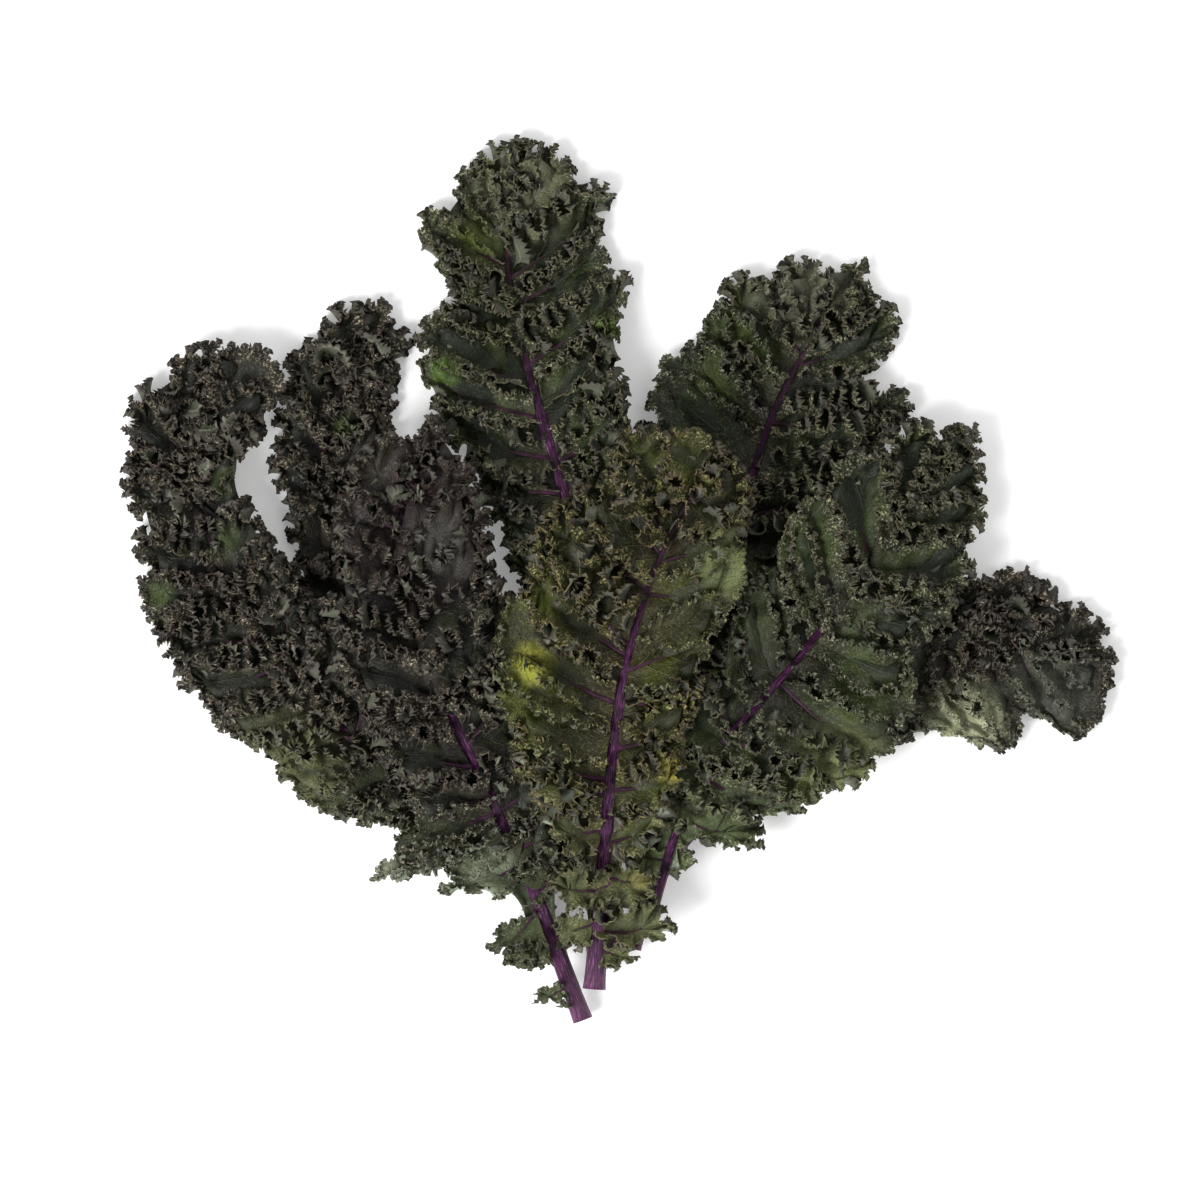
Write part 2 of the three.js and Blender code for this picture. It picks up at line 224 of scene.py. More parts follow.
def show(
    name: str, mesh: bpy.types.Mesh, *materials: bpy.types.Material
) -> bpy.types.Object:
    """Puts a mesh in the scene.

    Args:
        name: Name of the new object.
        mesh: The mesh.
        materials: Its materials, slot by slot.

    Returns:
        The new object.
    """
    thing = bpy.data.objects.new(name, mesh)
    bpy.context.scene.collection.objects.link(thing)
    for material in materials:
        mesh.materials.append(material)
    return thing


# ---- The plan of a leaf -------------------------------------------------------------------------


class Side(Enum):
    """Which side of the midrib a half of the blade is on, seen with the tip pointing away."""

    LEFT = 1
    RIGHT = -1


@dataclass
class Midrib:
    """The midrib of a leaf in plan, in millimetres.

    Args:
        spine: Points from the cut end to the tip.
        radius: Half the petiole's width at its cut end, and half the midrib's at its tip.
        taper: How late the midrib thins: 1 for evenly, more for later.
        steps: Number of steps that each stretch between two points is drawn with.
        swell: How much thicker the cut end is, and the share of the length that it thins over.
        nearby: Share of the length between the points that a direction is read from.
        line: The smooth line through the points.
        lengths: Length along the line up to each of its points.
    """

    spine: list[Point]
    radius: tuple[float, float]
    taper: float
    steps: int = 60
    swell: tuple[float, float] = (0.5, 0.05)
    nearby: float = 0.01
    line: np.ndarray = field(init=False)
    lengths: np.ndarray = field(init=False)

    def __post_init__(self) -> None:
        """Draws the smooth line through the points."""
        ends = np.array(self.spine, float)
        ends = np.vstack([2 * ends[0] - ends[1], ends, 2 * ends[-1] - ends[-2]])
        t = np.linspace(0, 1, self.steps, endpoint=False)[:, None]
        runs = [curve(t, a, b, c, d) for a, b, c, d in zip(ends, ends[1:], ends[2:], ends[3:])]
        self.line = np.vstack([*runs, ends[-2:-1]])
        self.lengths = run_of(self.line)

    @property
    def length(self) -> float:
        """Length of the midrib from its cut end to its tip."""
        return float(self.lengths[-1])

    def at(self, share: np.ndarray) -> tuple[np.ndarray, np.ndarray, np.ndarray]:
        """Points on the midrib and the directions there.

        Args:
            share: Shares of the length, from 0 at the cut end to 1 at the tip.

        Returns:
            The points, the directions towards the tip, and the directions to the left.
        """

        def place(where: np.ndarray) -> np.ndarray:
            """Points on the line at shares of its length."""
            reach = where * self.length
            return np.stack([np.interp(reach, self.lengths, self.line[:, k]) for k in (0, 1)], -1)

        after, before = np.minimum(share + self.nearby, 1), np.maximum(share - self.nearby, 0)
        along = unit(place(after) - place(before))
        return place(share), along, np.stack([-along[..., 1], along[..., 0]], -1)

    def radius_at(self, share: np.ndarray) -> np.ndarray:
        """Half the midrib's width at shares of its length.

        Args:
            share: Shares of the length.

        Returns:
            Half widths in millimetres, with a swelling at the cut end.
        """
        (cut, tip), (thicker, over) = self.radius, self.swell
        swollen = thicker * np.maximum(0, 1 - share / over) ** 2
        return cut + (tip - cut) * np.clip(share, 0, 1) ** self.taper + swollen


@dataclass
class BladeHalf:
    """The blade on one side of the midrib, drawn with rays from the midrib to the rim.

    Args:
        midrib: The midrib that the rays start from.
        rays: Share of the midrib's length, degrees off the midrib, and length of each ray.
        side: The side of the midrib.
        ray_bend: How many degrees a ray at right angles turns towards the tip on its way out.
        root: How far from the middle of the midrib the rays start, as a share of its half width.
        marks: Length along the rim up to the end of each ray.
    """

    midrib: Midrib
    rays: list[Ray]
    side: Side
    ray_bend: float = 14
    root: float = 0.62
    marks: np.ndarray = field(init=False)

    def __post_init__(self) -> None:
        """Measures the rim between the rays' ends."""
        share, angle, reach = np.array(self.rays, float).T
        self.marks = run_of(self.place(share, angle, reach, np.ones_like(share)))

    @property
    def rim(self) -> float:
        """Length of the rim in plan, from the petiole to the tip."""
        return float(self.marks[-1])

    def place(
        self, share: np.ndarray, angle: np.ndarray, reach: np.ndarray, out: np.ndarray
    ) -> np.ndarray:
        """Points in plan on rays.

        Args:
            share: Where the rays start on the midrib.
            angle: Degrees between ray and midrib.
            reach: Lengths of the rays.
            out: Shares of the way out to the rim.

        Returns:
            The points in millimetres.
        """
        point, along, left = self.midrib.at(share)
        sideways = left * self.side.value
        turned = np.radians(angle * (1 - self.ray_bend / 90 * out))
        start = point + sideways * (self.root * self.midrib.radius_at(share))[..., None]
        return start + (out * reach)[..., None] * (
            along * np.cos(turned)[..., None] + sideways * np.sin(turned)[..., None]
        )

    def ray(self, rim: np.ndarray) -> np.ndarray:
        """The rays that end at lengths along the rim.

        Args:
            rim: Lengths along the rim from the petiole.

        Returns:
            Share, angle and length of each ray, along the last axis.
        """
        rays = np.array(self.rays, float)
        last = len(rays) - 1
        i = np.clip(np.searchsorted(self.marks, rim, side="right") - 1, 0, last - 1)
        t = ((rim - self.marks[i]) / (self.marks[i + 1] - self.marks[i]))[..., None]
        a, b, c, d = (rays[np.clip(i + k, 0, last)] for k in (-1, 0, 1, 2))
        return np.clip(curve(t, a, b, c, d), np.minimum(b, c), np.maximum(b, c))


# ---- The ruffled blade --------------------------------------------------------------------------


@dataclass(frozen=True)
class Curl:
    """A ruffle that rolls the outer band of a blade up and down in turn.

    Args:
        length: Length of one whole ruffle along the rim, in millimetres.
        band: Width of the band that rolls, in millimetres.
        turn: How far the rim turns at a crest, in radians.
        sway: How far the ruffle leans over its neighbours, as a share of its length.
        drift: How far a ruffle slants on its way out, in radians.
        uneven: How unevenly the ruffles follow one another, in radians.
        strong: The middle of how strongly they roll, and how far it varies.
        band_spread: How much the band's width varies, as a share of it.
        periods: After how many ruffles their spacing, slant, strength and band change.
        straight: Bend that is too slight to tell from none, in radians to the millimetre.
    """

    length: float
    band: float
    turn: float
    sway: float
    drift: float
    uneven: float = 2.2
    strong: tuple[float, float] = (0.9, 0.45)
    band_spread: float = 0.3
    periods: tuple[float, float, float, float] = (2.7, 4, 1.7, 3.1)
    straight: float = 1e-4

    def bend(
        self,
        points: np.ndarray,
        away: np.ndarray,
        squeeze: np.ndarray,
        run: np.ndarray,
        seed: float,
        strength: float,
    ) -> np.ndarray:
        """Rolls the outer band of a sheet.

        Args:
            points: Points over stations and rows.
            away: Distance of each point from the rim.
            squeeze: How much narrower the bands are at each station.
            run: Length along the rim as it is bent so far, at each station.
            seed: Which run of noise to take.
            strength: Share of its full turn.

        Returns:
            The bent points.
        """
        ahead = unit(np.gradient(points, axis=0))
        normal = unit(np.cross(ahead, np.gradient(points, axis=1)))
        outward = np.cross(normal, ahead)
        run = run[:, None]
        spacing, slant, power, width = (
            wander(run / (period * self.length), seed + offset)
            for period, offset in zip(self.periods, (0, 5, 1, 2))
        )
        theta = 2 * np.pi * run / self.length + self.uneven * spacing
        theta = theta + self.drift * (away / self.band) * slant
        strong = self.strong[0] + self.strong[1] * power
        band = self.band * (1 + self.band_spread * width) * squeeze
        rolled = np.clip(band - away, 0, None)
        bend = strength * self.turn * strong * np.sin(theta) / band
        bend = np.where(np.abs(bend) < self.straight, self.straight, bend)
        lift = (1 - np.cos(bend * rolled)) / bend
        back = np.sin(bend * rolled) / bend - rolled
        lean = -self.sway * self.length * np.sin(2 * theta) * (rolled / band) ** 2
        moved = points + lift[..., None] * normal + back[..., None] * outward
        return moved + lean[..., None] * ahead


@dataclass(frozen=True)
class Rows:
    """Where the rows of a strip lie: every tier has twice as many stations as the one inside it.

    Args:
        inner: Number of even steps from the rib to the first row below.
        tiers: Distances of the other rows from the rim, in millimetres, tier by tier.
    """

    inner: int
    tiers: tuple[tuple[float, ...], ...]

    @property
    def distances(self) -> np.ndarray:
        """Distances from the rim of all rows that are given by one."""
        return np.array([d for tier in self.tiers for d in tier])

    def stations(self, cells: int) -> int:
        """Number of stations along the rim for a number of cells along the rib."""
        return cells * 2 ** (len(self.tiers) - 1) + 1

    def strip(self, bm: bmesh.types.BMesh, cells: int, tag: int) -> None:
        """Adds a flat strip, with station, row and tag as its coordinates.

        Args:
            bm: Where to add it.
            cells: Number of cells along the rib.
            tag: Number of the strip.
        """
        steps = self.inner + len(self.tiers[0]) - 1
        made = bmesh.ops.create_grid(bm, x_segments=cells, y_segments=steps, size=1)["verts"]
        bmesh.ops.translate(bm, verts=made, vec=(1, 1, 0))
        bmesh.ops.scale(bm, verts=made, vec=((self.stations(cells) - 1) / 2, steps / 2, 1))
        bmesh.ops.translate(bm, verts=made, vec=(0, 0, tag))
        edges = dict.fromkeys(edge for vertex in made for edge in vertex.link_edges)
        rim = [e for e in edges if all(v.co.y > steps - 0.5 for v in e.verts)]
        for tier in self.tiers[1:]:
            split = bmesh.ops.subdivide_edges(bm, edges=rim, cuts=1)
            rim = [e for e in split["geom_split"] if isinstance(e, bmesh.types.BMEdge)]
            for _ in tier:
                rim = extrude(bm, rim, (0, 1, 0))

    def shares(self, length: np.ndarray, room: float) -> tuple[np.ndarray, np.ndarray, np.ndarray]:
        """How far out each row lies on lines from rib to rim.

        Args:
            length: Length of the line at each station.
            room: Length of line that all the rows need.

        Returns:
            Shares of the way out and distances from the rim, over stations and rows, and how much
            narrower the rows are at each station.
        """
        squeeze = np.minimum(1, length / room)[:, None]
        outer = 1 - self.distances[None] * squeeze / length[:, None]
        rows = outer[:, :1] * (np.arange(self.inner) / self.inner)[None]
        out = np.concatenate([rows, outer], axis=1)
        return out, (1 - out) * length[:, None], squeeze


@dataclass
class Sheet:
    """A bent sheet over stations and rows.

    Args:
        points: Points in millimetres.
        away: Distance of each point from the rim.
        out: Share of the way from midrib to the leaf's rim.
        share: Place on the midrib.
        veins: Which fine vein each point is nearest to.
        rise: How far the curls lift each point, in millimetres.
    """

    points: np.ndarray
    away: np.ndarray
    out: np.ndarray
    share: np.ndarray
    veins: np.ndarray
    rise: np.ndarray


@dataclass
class Leaf:
    """One cut leaf in plan: its midrib and the rays out to its rim.

    Args:
        name: Name of the leaf's nodes in the frame.
        seed: Which run of noise it takes.
        spine: The midrib in plan, in millimetres.
        radius: Half width of the petiole's cut end and of the midrib's tip.
        left: Rays of the blade's left half.
        right: Rays of its right half.
        bare: Between which shares of its length the midrib lies open to view, run by run.
        calm: Between which shares the blade is smooth with a narrow frill, and on which side.
        trim: Share of its length that is cut off its lower end.
        taper: How late its midrib thins.
        ruffle_length: Length of one large fold along the rim, in millimetres.
        ruffle_height: Height of the large folds where the blade is broad, in millimetres.
        broad: How broad a blade has folds of that height, in millimetres.
        inner_stand: Height of the folds beside the midrib, as a share of theirs further out.
        least_fold: How low a fold has to be for a lobe, from -1 to 1.
        leaflets: Up to which share of its length the blade is cut into leaflets.
        least_leaflet: Length of the shortest leaflet, in millimetres.
        clearance: How far the middle of a lobe stays from a leaflet's tip, in millimetres.
        centre_spread: How far the lobes' middles stray along the rim, in millimetres.
        midrib: The midrib in plan.
        halves: The blade on its left and on its right.
    """

    name: str
    seed: int
    spine: list[Point]
    radius: tuple[float, float]
    left: list[Ray]
    right: list[Ray]
    bare: tuple[tuple[float, float], ...] = ((0.0, 0.3),)
    calm: tuple[tuple[float, float, Side], ...] = ()
    trim: float = 0.0
    taper: float = 1.25
    ruffle_length: float = 22
    ruffle_height: float = 9.5
    broad: float = 26
    inner_stand: float = 0.45
    least_fold: float = -0.5
    leaflets: float = 0.385
    least_leaflet: float = 7
    clearance: float = 13
    centre_spread: float = 16
    midrib: Midrib = field(init=False)
    halves: tuple[BladeHalf, BladeHalf] = field(init=False)

    def __post_init__(self) -> None:
        """Draws the plan."""
        self.midrib = Midrib(self.spine, self.radius, self.taper)
        self.halves = (
            BladeHalf(self.midrib, self.left, Side.LEFT),
            BladeHalf(self.midrib, self.right, Side.RIGHT),
        )

    @property
    def rim(self) -> float:
        """Length of the whole rim in plan, up the left side and down the right."""
        return self.halves[0].rim + self.halves[1].rim

    def on_rim(self, along: np.ndarray) -> np.ndarray:
        """Lengths along the whole rim, kept a little off its two ends."""
        return np.clip(along, RIM_MARGIN, self.rim - RIM_MARGIN)

    def ray(self, along: np.ndarray) -> np.ndarray:
        """Share, angle and reach of the rays that end at lengths along the whole rim.

        Args:
            along: Lengths along the whole rim.

        Returns:
            The three numbers of each ray, along the last axis.
        """
        left, right = self.halves
        on_left = (along <= left.rim)[..., None]
        return np.where(on_left, left.ray(along), right.ray(self.rim - along))

    def spot(self, along: np.ndarray, out: np.ndarray) -> np.ndarray:
        """Points in plan.

        Args:
            along: Lengths along the whole rim.
            out: Shares of the way from the midrib to the rim.

        Returns:
            The points in millimetres.
        """
        left, right = self.halves
        along = self.on_rim(along)
        rays = np.moveaxis(self.ray(along), -1, 0)
        on_left = (along <= left.rim)[..., None]
        return np.where(on_left, left.place(*rays, out), right.place(*rays, out))

    def wave(self, along: np.ndarray) -> np.ndarray:
        """How high the large folds are at the rim.

        Args:
            along: Lengths along the whole rim.

        Returns:
            Heights from -1 to 1.
        """
        left = self.halves[0].rim
        run = np.where(along <= left, along, self.rim - along)
        from_tip = np.minimum(1, np.abs(left - along) / self.ruffle_length)
        own = self.seed * 10 + np.where(along <= left, 1, -1)
        phase = 2 * np.pi * (left - along) / self.ruffle_length
        return np.sin(phase + 0.8 * from_tip * wander(run / 40, own + 3))

    def stand(self, out: np.ndarray, reach: float) -> np.ndarray:
        """Height of the folds of a lobe.

        Args:
            out: Shares of the way from the midrib to the rim.
            reach: How broad the blade is at the lobe.

        Returns:
            Heights in millimetres.
        """
        highest = self.ruffle_height * min(1.0, reach / self.broad)
        return highest * (self.inner_stand + (1 - self.inner_stand) * ramp(out, 0, 0.6))

    def outline(self) -> np.ndarray:
        """The leaf's outline in plan, a little inside its rim."""
        along = np.linspace(RIM_MARGIN, self.rim - RIM_MARGIN, 160)
        return self.spot(along, np.full_like(along, 0.93))

    def hollows(self) -> np.ndarray:
        """Finds the middles of the lobes.

        Returns:
            Lengths along the rim where its folds are lowest, or where a leaflet has its tip.
        """
        along = np.linspace(0, self.rim, 4000)
        here = along[1:-1]
        wave = self.wave(along)
        low = (wave[1:-1] < wave[:-2]) & (wave[1:-1] <= wave[2:])
        centres = here[low & (wave[1:-1] < self.least_fold)]
        stray = chance(np.arange(len(centres)), self.seed + 0.5) - 0.5
        centres = centres + self.centre_spread * stray
        share, _, reach = self.ray(along).T
        far = (reach[1:-1] > reach[:-2]) & (reach[1:-1] >= reach[2:])
        far &= (share[1:-1] < self.leaflets) & (reach[1:-1] > self.least_leaflet)
        tips = here[far]
        gaps = np.abs(centres[:, None] - tips[None]).min(1, initial=np.inf)
        return np.sort(np.concatenate([centres[gaps > self.clearance], tips]))


@dataclass
class Lobe:
    """One lobe of a leaf: a fan on its own side vein, with a ruffled rim.

    Args:
        leaf: The leaf that it grows from.
        centre: Where on the leaf's rim its middle is, in millimetres.
        number: Its place among the leaf's lobes.
        over: Outlines of the leaves that lie on this one.
        half_width: Half its width along the leaf's rim, in millimetres.
        width_range: Least share of that width, and how much more it can be.
        narrow: Most of its half width beside the midrib, in millimetres, and for each millimetre
            of its length.
        lean: How far along the leaf's rim its vein can lean, in millimetres.
        tilting: How much higher one of its flanks can lie than the other.
        overlap: Least length that reaches over the midrib, and how much more it can be.
        round_tip: Length of its round tip for its half width.
        rows: Where the rows of its strip lie.
        room: Length from vein to rim that all the rows need, in millimetres.
        fold: The curl that folds its outer part.
        crimp: The finer curl of its rim.
        step: Length of rim between two stations, in millimetres.
        hidden_step: The same for a lobe that other leaves hide.
        evenly: Share of its stations that is spread by its rim as it lies flat. The rest is
            spread by its folded rim.
        teeth: How far the rim's large teeth and its small ones stand out, in millimetres.
        tooth: Length of one tooth of a leaflet, in millimetres.
        vein_spacing: Length of rim for one fine vein, in millimetres.
        smooth_frill: Width of a smooth lobe's frill, as a share of a ruffled one's.
        plain: How much further from its rim a smooth lobe counts as, and how far at most, in
            millimetres.
        fold_height: How high its flanks rise for the height of the leaf's folds.
        reach: Length from the midrib to its tip, in millimetres.
        at_share: Place of its vein on the midrib.
        skew: How far along the leaf's rim its vein leans, in millimetres.
        tilt: How much higher one of its flanks lies than the other.
        smooth: Whether it is a smooth lobe.
        frill: Width of its frill, as a share of the full one.
        strength: How strongly it curls, from 0 to 1.
        along: Place on the leaf's rim of each mark on its own rim.
        out: Share of the way out of each mark.
        vein_out: Share of the way out of the place on its vein that each mark belongs to.
        marks: Length along its own rim up to each mark.
    """

    leaf: Leaf
    centre: float
    number: int
    over: list[np.ndarray]
    half_width: float = 18.5
    width_range: tuple[float, float] = (0.62, 0.54)
    narrow: tuple[float, float] = (3, 0.45)
    lean: float = 30
    tilting: float = 1.1
    overlap: tuple[float, float] = (4.0, 9.0)
    round_tip: float = 0.85
    rows: Rows = Rows(inner=2, tiers=((8.4,), (4.8,), (1.8, 0.0)))
    room: float = 14.0
    fold: Curl = Curl(length=13.0, band=14.5, turn=1.25, sway=0.14, drift=0.8)
    crimp: Curl = Curl(length=2.75, band=3.6, turn=1.6, sway=0.1, drift=0.4)
    step: float = 0.326
    hidden_step: float = 0.9
    evenly: float = 0.25
    teeth: tuple[float, float] = (0.8, 0.5)
    tooth: float = 3.6
    vein_spacing: float = 7.0
    smooth_frill: float = 0.45
    plain: tuple[float, float] = (4.0, 9.0)
    fold_height: float = 1.35
    reach: float = field(init=False)
    at_share: float = field(init=False)
    skew: float = field(init=False)
    tilt: float = field(init=False)
    smooth: bool = field(init=False)
    frill: float = field(init=False)
    strength: float = field(init=False)
    along: np.ndarray = field(init=False)
    out: np.ndarray = field(init=False)
    vein_out: np.ndarray = field(init=False)
    marks: np.ndarray = field(init=False)

    def __post_init__(self) -> None:
        """Settles how the lobe grows, and draws its rim."""
        leaf, own = self.leaf, self.own
        share, _, reach = leaf.ray(np.array([self.centre]))[0]
        self.reach, self.at_share = float(reach), float(share)
        half = self.half_width * (self.width_range[0] + self.width_range[1] * pick(own, 1.0))
        half = min(half, self.narrow[0] + self.narrow[1] * self.reach)
        self.skew = self.lean * (pick(own, 6.0) - 0.5)
        self.tilt = self.tilting * (pick(own, 7.0) - 0.5)
        self.strength = 0.55 + 0.45 * float(ramp(np.array(share), 0.03, 0.24))
        side = Side.LEFT if self.centre < leaf.halves[0].rim else Side.RIGHT
        self.smooth = any(lo < share < hi and side is where for lo, hi, where in leaf.calm)
        weak = pick(own, 12.0) > 0.9
        self.frill = self.smooth_frill if self.smooth else 1 - 0.4 * float(weak)
        tip = min(self.round_tip * half / reach, 0.5)
        bare = any(lo < share < hi for lo, hi in leaf.bare)
        lap = 0.02 if bare else -(self.overlap[0] + self.overlap[1] * pick(own, 4.0)) / reach
        self._draw_rim(half * 1.2 if self.smooth else half, max(lap, -0.4), tip)

    def _draw_rim(self, half: float, base: float, tip: float) -> None:
        """Draws the lobe's rim round its vein: up one flank, round the tip, down the other.

        Args:
            half: Half its width along the leaf's rim, in millimetres.
            base: Share of the way out where its flanks start.
            tip: Share of the way out that its round tip takes up.
        """
        flank = np.linspace(0, 1, 24)[:-1]
        turn = np.linspace(0, np.pi, 50)
        rise = base + (1 - tip - base) * flank
        out = np.concatenate([rise, 1 - tip + tip * np.sin(turn) ** 0.9, rise[::-1]])
        across = -np.sign(np.cos(turn)) * np.abs(np.cos(turn)) ** 0.85
        wide = np.concatenate([-np.ones_like(flank), across, np.ones_like(flank)])
        narrow = 0.74 + 0.26 * ramp(out, 0.0, 0.55)
        self.along = self.centre + half * wide * narrow
        spread = 0.24 if self.at_share > self.leaf.leaflets else 0.0
        self.out = out * (1.0 + spread * (pick(self.own, 8.0) - 0.62))
        on_vein = (out - base) / (1 - tip - base) * (1 - tip) - 0.1 * tip
        self.vein_out = np.clip(on_vein, 0, 1 - tip)
        self.marks = run_of(self.leaf.spot(self.along, self.out))

    @property
    def rim(self) -> float:
        """Length of the lobe's own rim in plan, in millimetres."""
        return float(self.marks[-1])

    @property
    def own(self) -> float:
        """Number of the lobe among all lobes."""
        return 37.0 * self.leaf.seed + self.number

    @property
    def hidden(self) -> bool:
        """Whether other leaves lie on nearly all of the lobe.

        Returns:
            True where more than four fifths of it is covered.
        """
        points = self.leaf.spot(self.along, 0.95 * self.out)
        covered = np.zeros(len(points), bool)
        for outline in self.over:
            covered |= inside(points, outline)
        return bool(covered.mean() > 0.8)

    @property
    def cells(self) -> int:
        """Number of cells along the vein."""
        step = self.hidden_step if self.hidden else self.step
        return max(6, round(self.rim / step / 4))

    def hollow(self, out: np.ndarray) -> np.ndarray:
        """How far the blade lies under the middle of its folds, at shares of the way out."""
        return -0.55 * self.leaf.stand(out, self.reach) * ramp(out, 0.05, 0.5)

    def vein(self, share: np.ndarray, settling: "Settling") -> np.ndarray:
        """Points on the lobe's side vein.

        Args:
            share: Shares of the vein's length.
            settling: How high the leaf lies.

        Returns:
            The points in millimetres.
        """
        out = share * self.vein_out.max()
        plan = self.leaf.spot(self.centre + self.skew * (1 - share), out)
        level = settling.base(plan, out, np.full_like(out, self.at_share))
        z = level + self.hollow(out) + 0.3
        return settling.settle(np.column_stack([plan, z])[:, None])[:, 0]

    def flat(self, u: np.ndarray, settling: "Settling") -> tuple[Sheet, np.ndarray]:
        """Lays the lobe on the leaf's heights, before it is curled.

        Args:
            u: Places of the stations along the lobe's rim.
            settling: How high the leaf lies.

        Returns:
            The sheet, and how much narrower its bands are at each station.
        """
        leaf, own, vein_end = self.leaf, self.own, self.vein_out.max()
        kept = (self.along, self.out, self.vein_out)
        along, out, vein = (np.interp(u, self.marks, numbers) for numbers in kept)
        lobule = 1 + 0.1 * wander(u / 6.5, own + 9)
        tooth = np.sin(2 * np.pi * u / self.tooth + 2 * wander(u / 5, own + 11))
        tooth = 1.4 * (1 - self.strength) * np.tanh(2.5 * tooth)
        end = leaf.spot(along, out)
        root = leaf.spot(self.centre + self.skew * (1 - vein / vein_end), vein)
        end = root + (end - root) * lobule[:, None] + unit(end - root) * tooth[:, None]
        length = np.maximum(np.linalg.norm(end - root, axis=1), 1.0)
        t, away, squeeze = self.rows.shares(length, self.room)
        plan = root[:, None] + (end - root)[:, None] * t[..., None]
        out_here = vein[:, None] + (out - vein)[:, None] * t
        share_here = leaf.ray(leaf.on_rim(along))[:, 0]
        share = self.at_share + (share_here - self.at_share)[:, None] * t
        flank = 1 - 0.75 * ramp(vein, 0.8 * vein_end, vein_end + 1e-3)
        slope = 1 + self.tilt * np.clip(1 - 2 * u / self.rim, -0.5, 0.5) * 2
        lift = flank * slope * (1 + 0.4 * wander(u / 19, own + 2))
        stand = leaf.stand(out_here, self.reach)
        z = self.hollow(out_here) + self.fold_height * stand * lift[:, None] * t**1.5
        over_rib = 1 - ramp(out_here, -0.02, 0.12)
        rib = leaf.midrib.radius_at(share)
        level = settling.base(plan, np.clip(out_here, 0, 1), share)
        z = z + level + over_rib * (0.6 * rib + 0.8) * t
        towards = np.clip((self.rim / 2 - u) / 9, -1, 1)
        slant = 0.9 * (towards * length)[:, None] * t
        veins = (u[:, None] - slant) / self.vein_spacing
        sheet = Sheet(np.dstack([plan, z]), away, out_here, share, veins, np.zeros_like(z))
        return sheet, squeeze

    def ragged(self, points: np.ndarray) -> np.ndarray:
        """Moves the rim in and out into small teeth.

        Args:
            points: Points over stations and rows.

        Returns:
            The points, with the last row moved.
        """
        count = np.arange(len(points))
        large = self.teeth[0] * (chance(count // 4, self.own) - 0.5)
        small = self.teeth[1] * (chance(count // 2, self.own + 1) - 0.4)
        points[:, -1] += unit(points[:, -1] - points[:, -2]) * (large + small)[:, None]
        return points

    def bend(
        self, u: np.ndarray, settling: "Settling", runs: list[np.ndarray] | None = None
    ) -> tuple[Sheet, list[np.ndarray]]:
        """Bends the lobe.

        Args:
            u: Places of the stations along the lobe's rim.
            settling: How high the leaf lies.
            runs: Lengths along the bent rim before each curl, where they are known.

        Returns:
            The sheet, and the lengths along the rim before each curl and after the last.
        """
        sheet, squeeze = self.flat(u, settling)
        points, found = sheet.points, []
        widths = (self.frill, 0.5 + 0.5 * self.frill)
        for number, (curl, width) in enumerate(zip((self.fold, self.crimp), widths)):
            found.append(run_of(points[:, -1]))
            run = runs[number] if runs else found[number]
            seed = 7.0 * self.own + 31 * number
            points = curl.bend(points, sheet.away, squeeze * width, run, seed, self.strength)
        found.append(run_of(points[:, -1]))
        points = self.ragged(points)
        sheet.rise = points[..., 2] - sheet.points[..., 2]
        sheet.points = points
        if self.smooth:
            sheet.away = np.minimum(sheet.away + self.plain[0], self.plain[1])
        return sheet, found

    def sheet(self, settling: "Settling") -> Sheet:
        """Makes the lobe's sheet, with its stations spread evenly over the ruffles.

        Args:
            settling: How high the leaf lies.

        Returns:
            The bent sheet.
        """
        count = self.rows.stations(self.cells)
        even = np.linspace(0, self.rim, count)
        _, (flat, folded, _) = self.bend(even, settling)
        spread = self.evenly * even / even[-1] + (1 - self.evenly) * folded / folded[-1]
        u = np.interp(np.linspace(0, 1, count), spread, even)
        sheet, _ = self.bend(u, settling, [np.interp(u, even, run) for run in (flat, folded)])
        return sheet


@dataclass
class Web:
    """The smooth inner blade that joins the lobes along the midrib.

    Args:
        leaf: The leaf.
        rows: Where the rows of its strip lie.
        room: Length from midrib to rim that all the rows need, in millimetres.
        reach: How far out it reaches where it is broadest, as a share.
        step: Length of rim between two stations, in millimetres.
        inset: How much further in than its own rim it counts as, in millimetres.
        vein_spacing: Length of rim for one fine vein, in millimetres.
    """

    leaf: Leaf
    rows: Rows = Rows(inner=7, tiers=((4.0,), (0.0,)))
    room: float = 12.0
    reach: float = 0.72
    step: float = 3.2
    inset: float = 14
    vein_spacing: float = 8.0

    @property
    def cells(self) -> int:
        """Number of cells along the midrib."""
        return round(self.leaf.rim / self.step / 2)

    def sheet(self, settling: "Settling") -> Sheet:
        """Makes the web's sheet.

        Args:
            settling: How high the leaf lies.

        Returns:
            The sheet.
        """
        leaf = self.leaf
        count = self.rows.stations(self.cells)
        along = np.linspace(RIM_MARGIN, leaf.rim - RIM_MARGIN, count)
        share, _, reach = np.moveaxis(leaf.ray(along), -1, 0)
        reached = (self.reach * (0.25 + 0.75 * ramp(share, 0.12, 0.4)))[:, None]
        t, away, _ = self.rows.shares(reach * reached[:, 0], self.room)
        out = t * reached
        plan = leaf.spot(along[:, None], out)
        share = np.broadcast_to(share[:, None], out.shape)
        wide = np.minimum(1, reach / leaf.broad)[:, None]
        wave = leaf.wave(along)[:, None]
        z = leaf.ruffle_height * wide * (0.75 * wave - 0.25) * out**1.3
        z = z + settling.base(plan, out, share) - 0.8 * ramp(out, 0.02, 0.2)
        veins = np.broadcast_to(along[:, None] / self.vein_spacing, out.shape)
        # The web counts as lying 1 mm low, so the painted hollow shade darkens it a little too.
        unbent = np.full_like(z, -1)
        return Sheet(np.dstack([plan, z]), away + self.inset, out, share, veins, unbent)


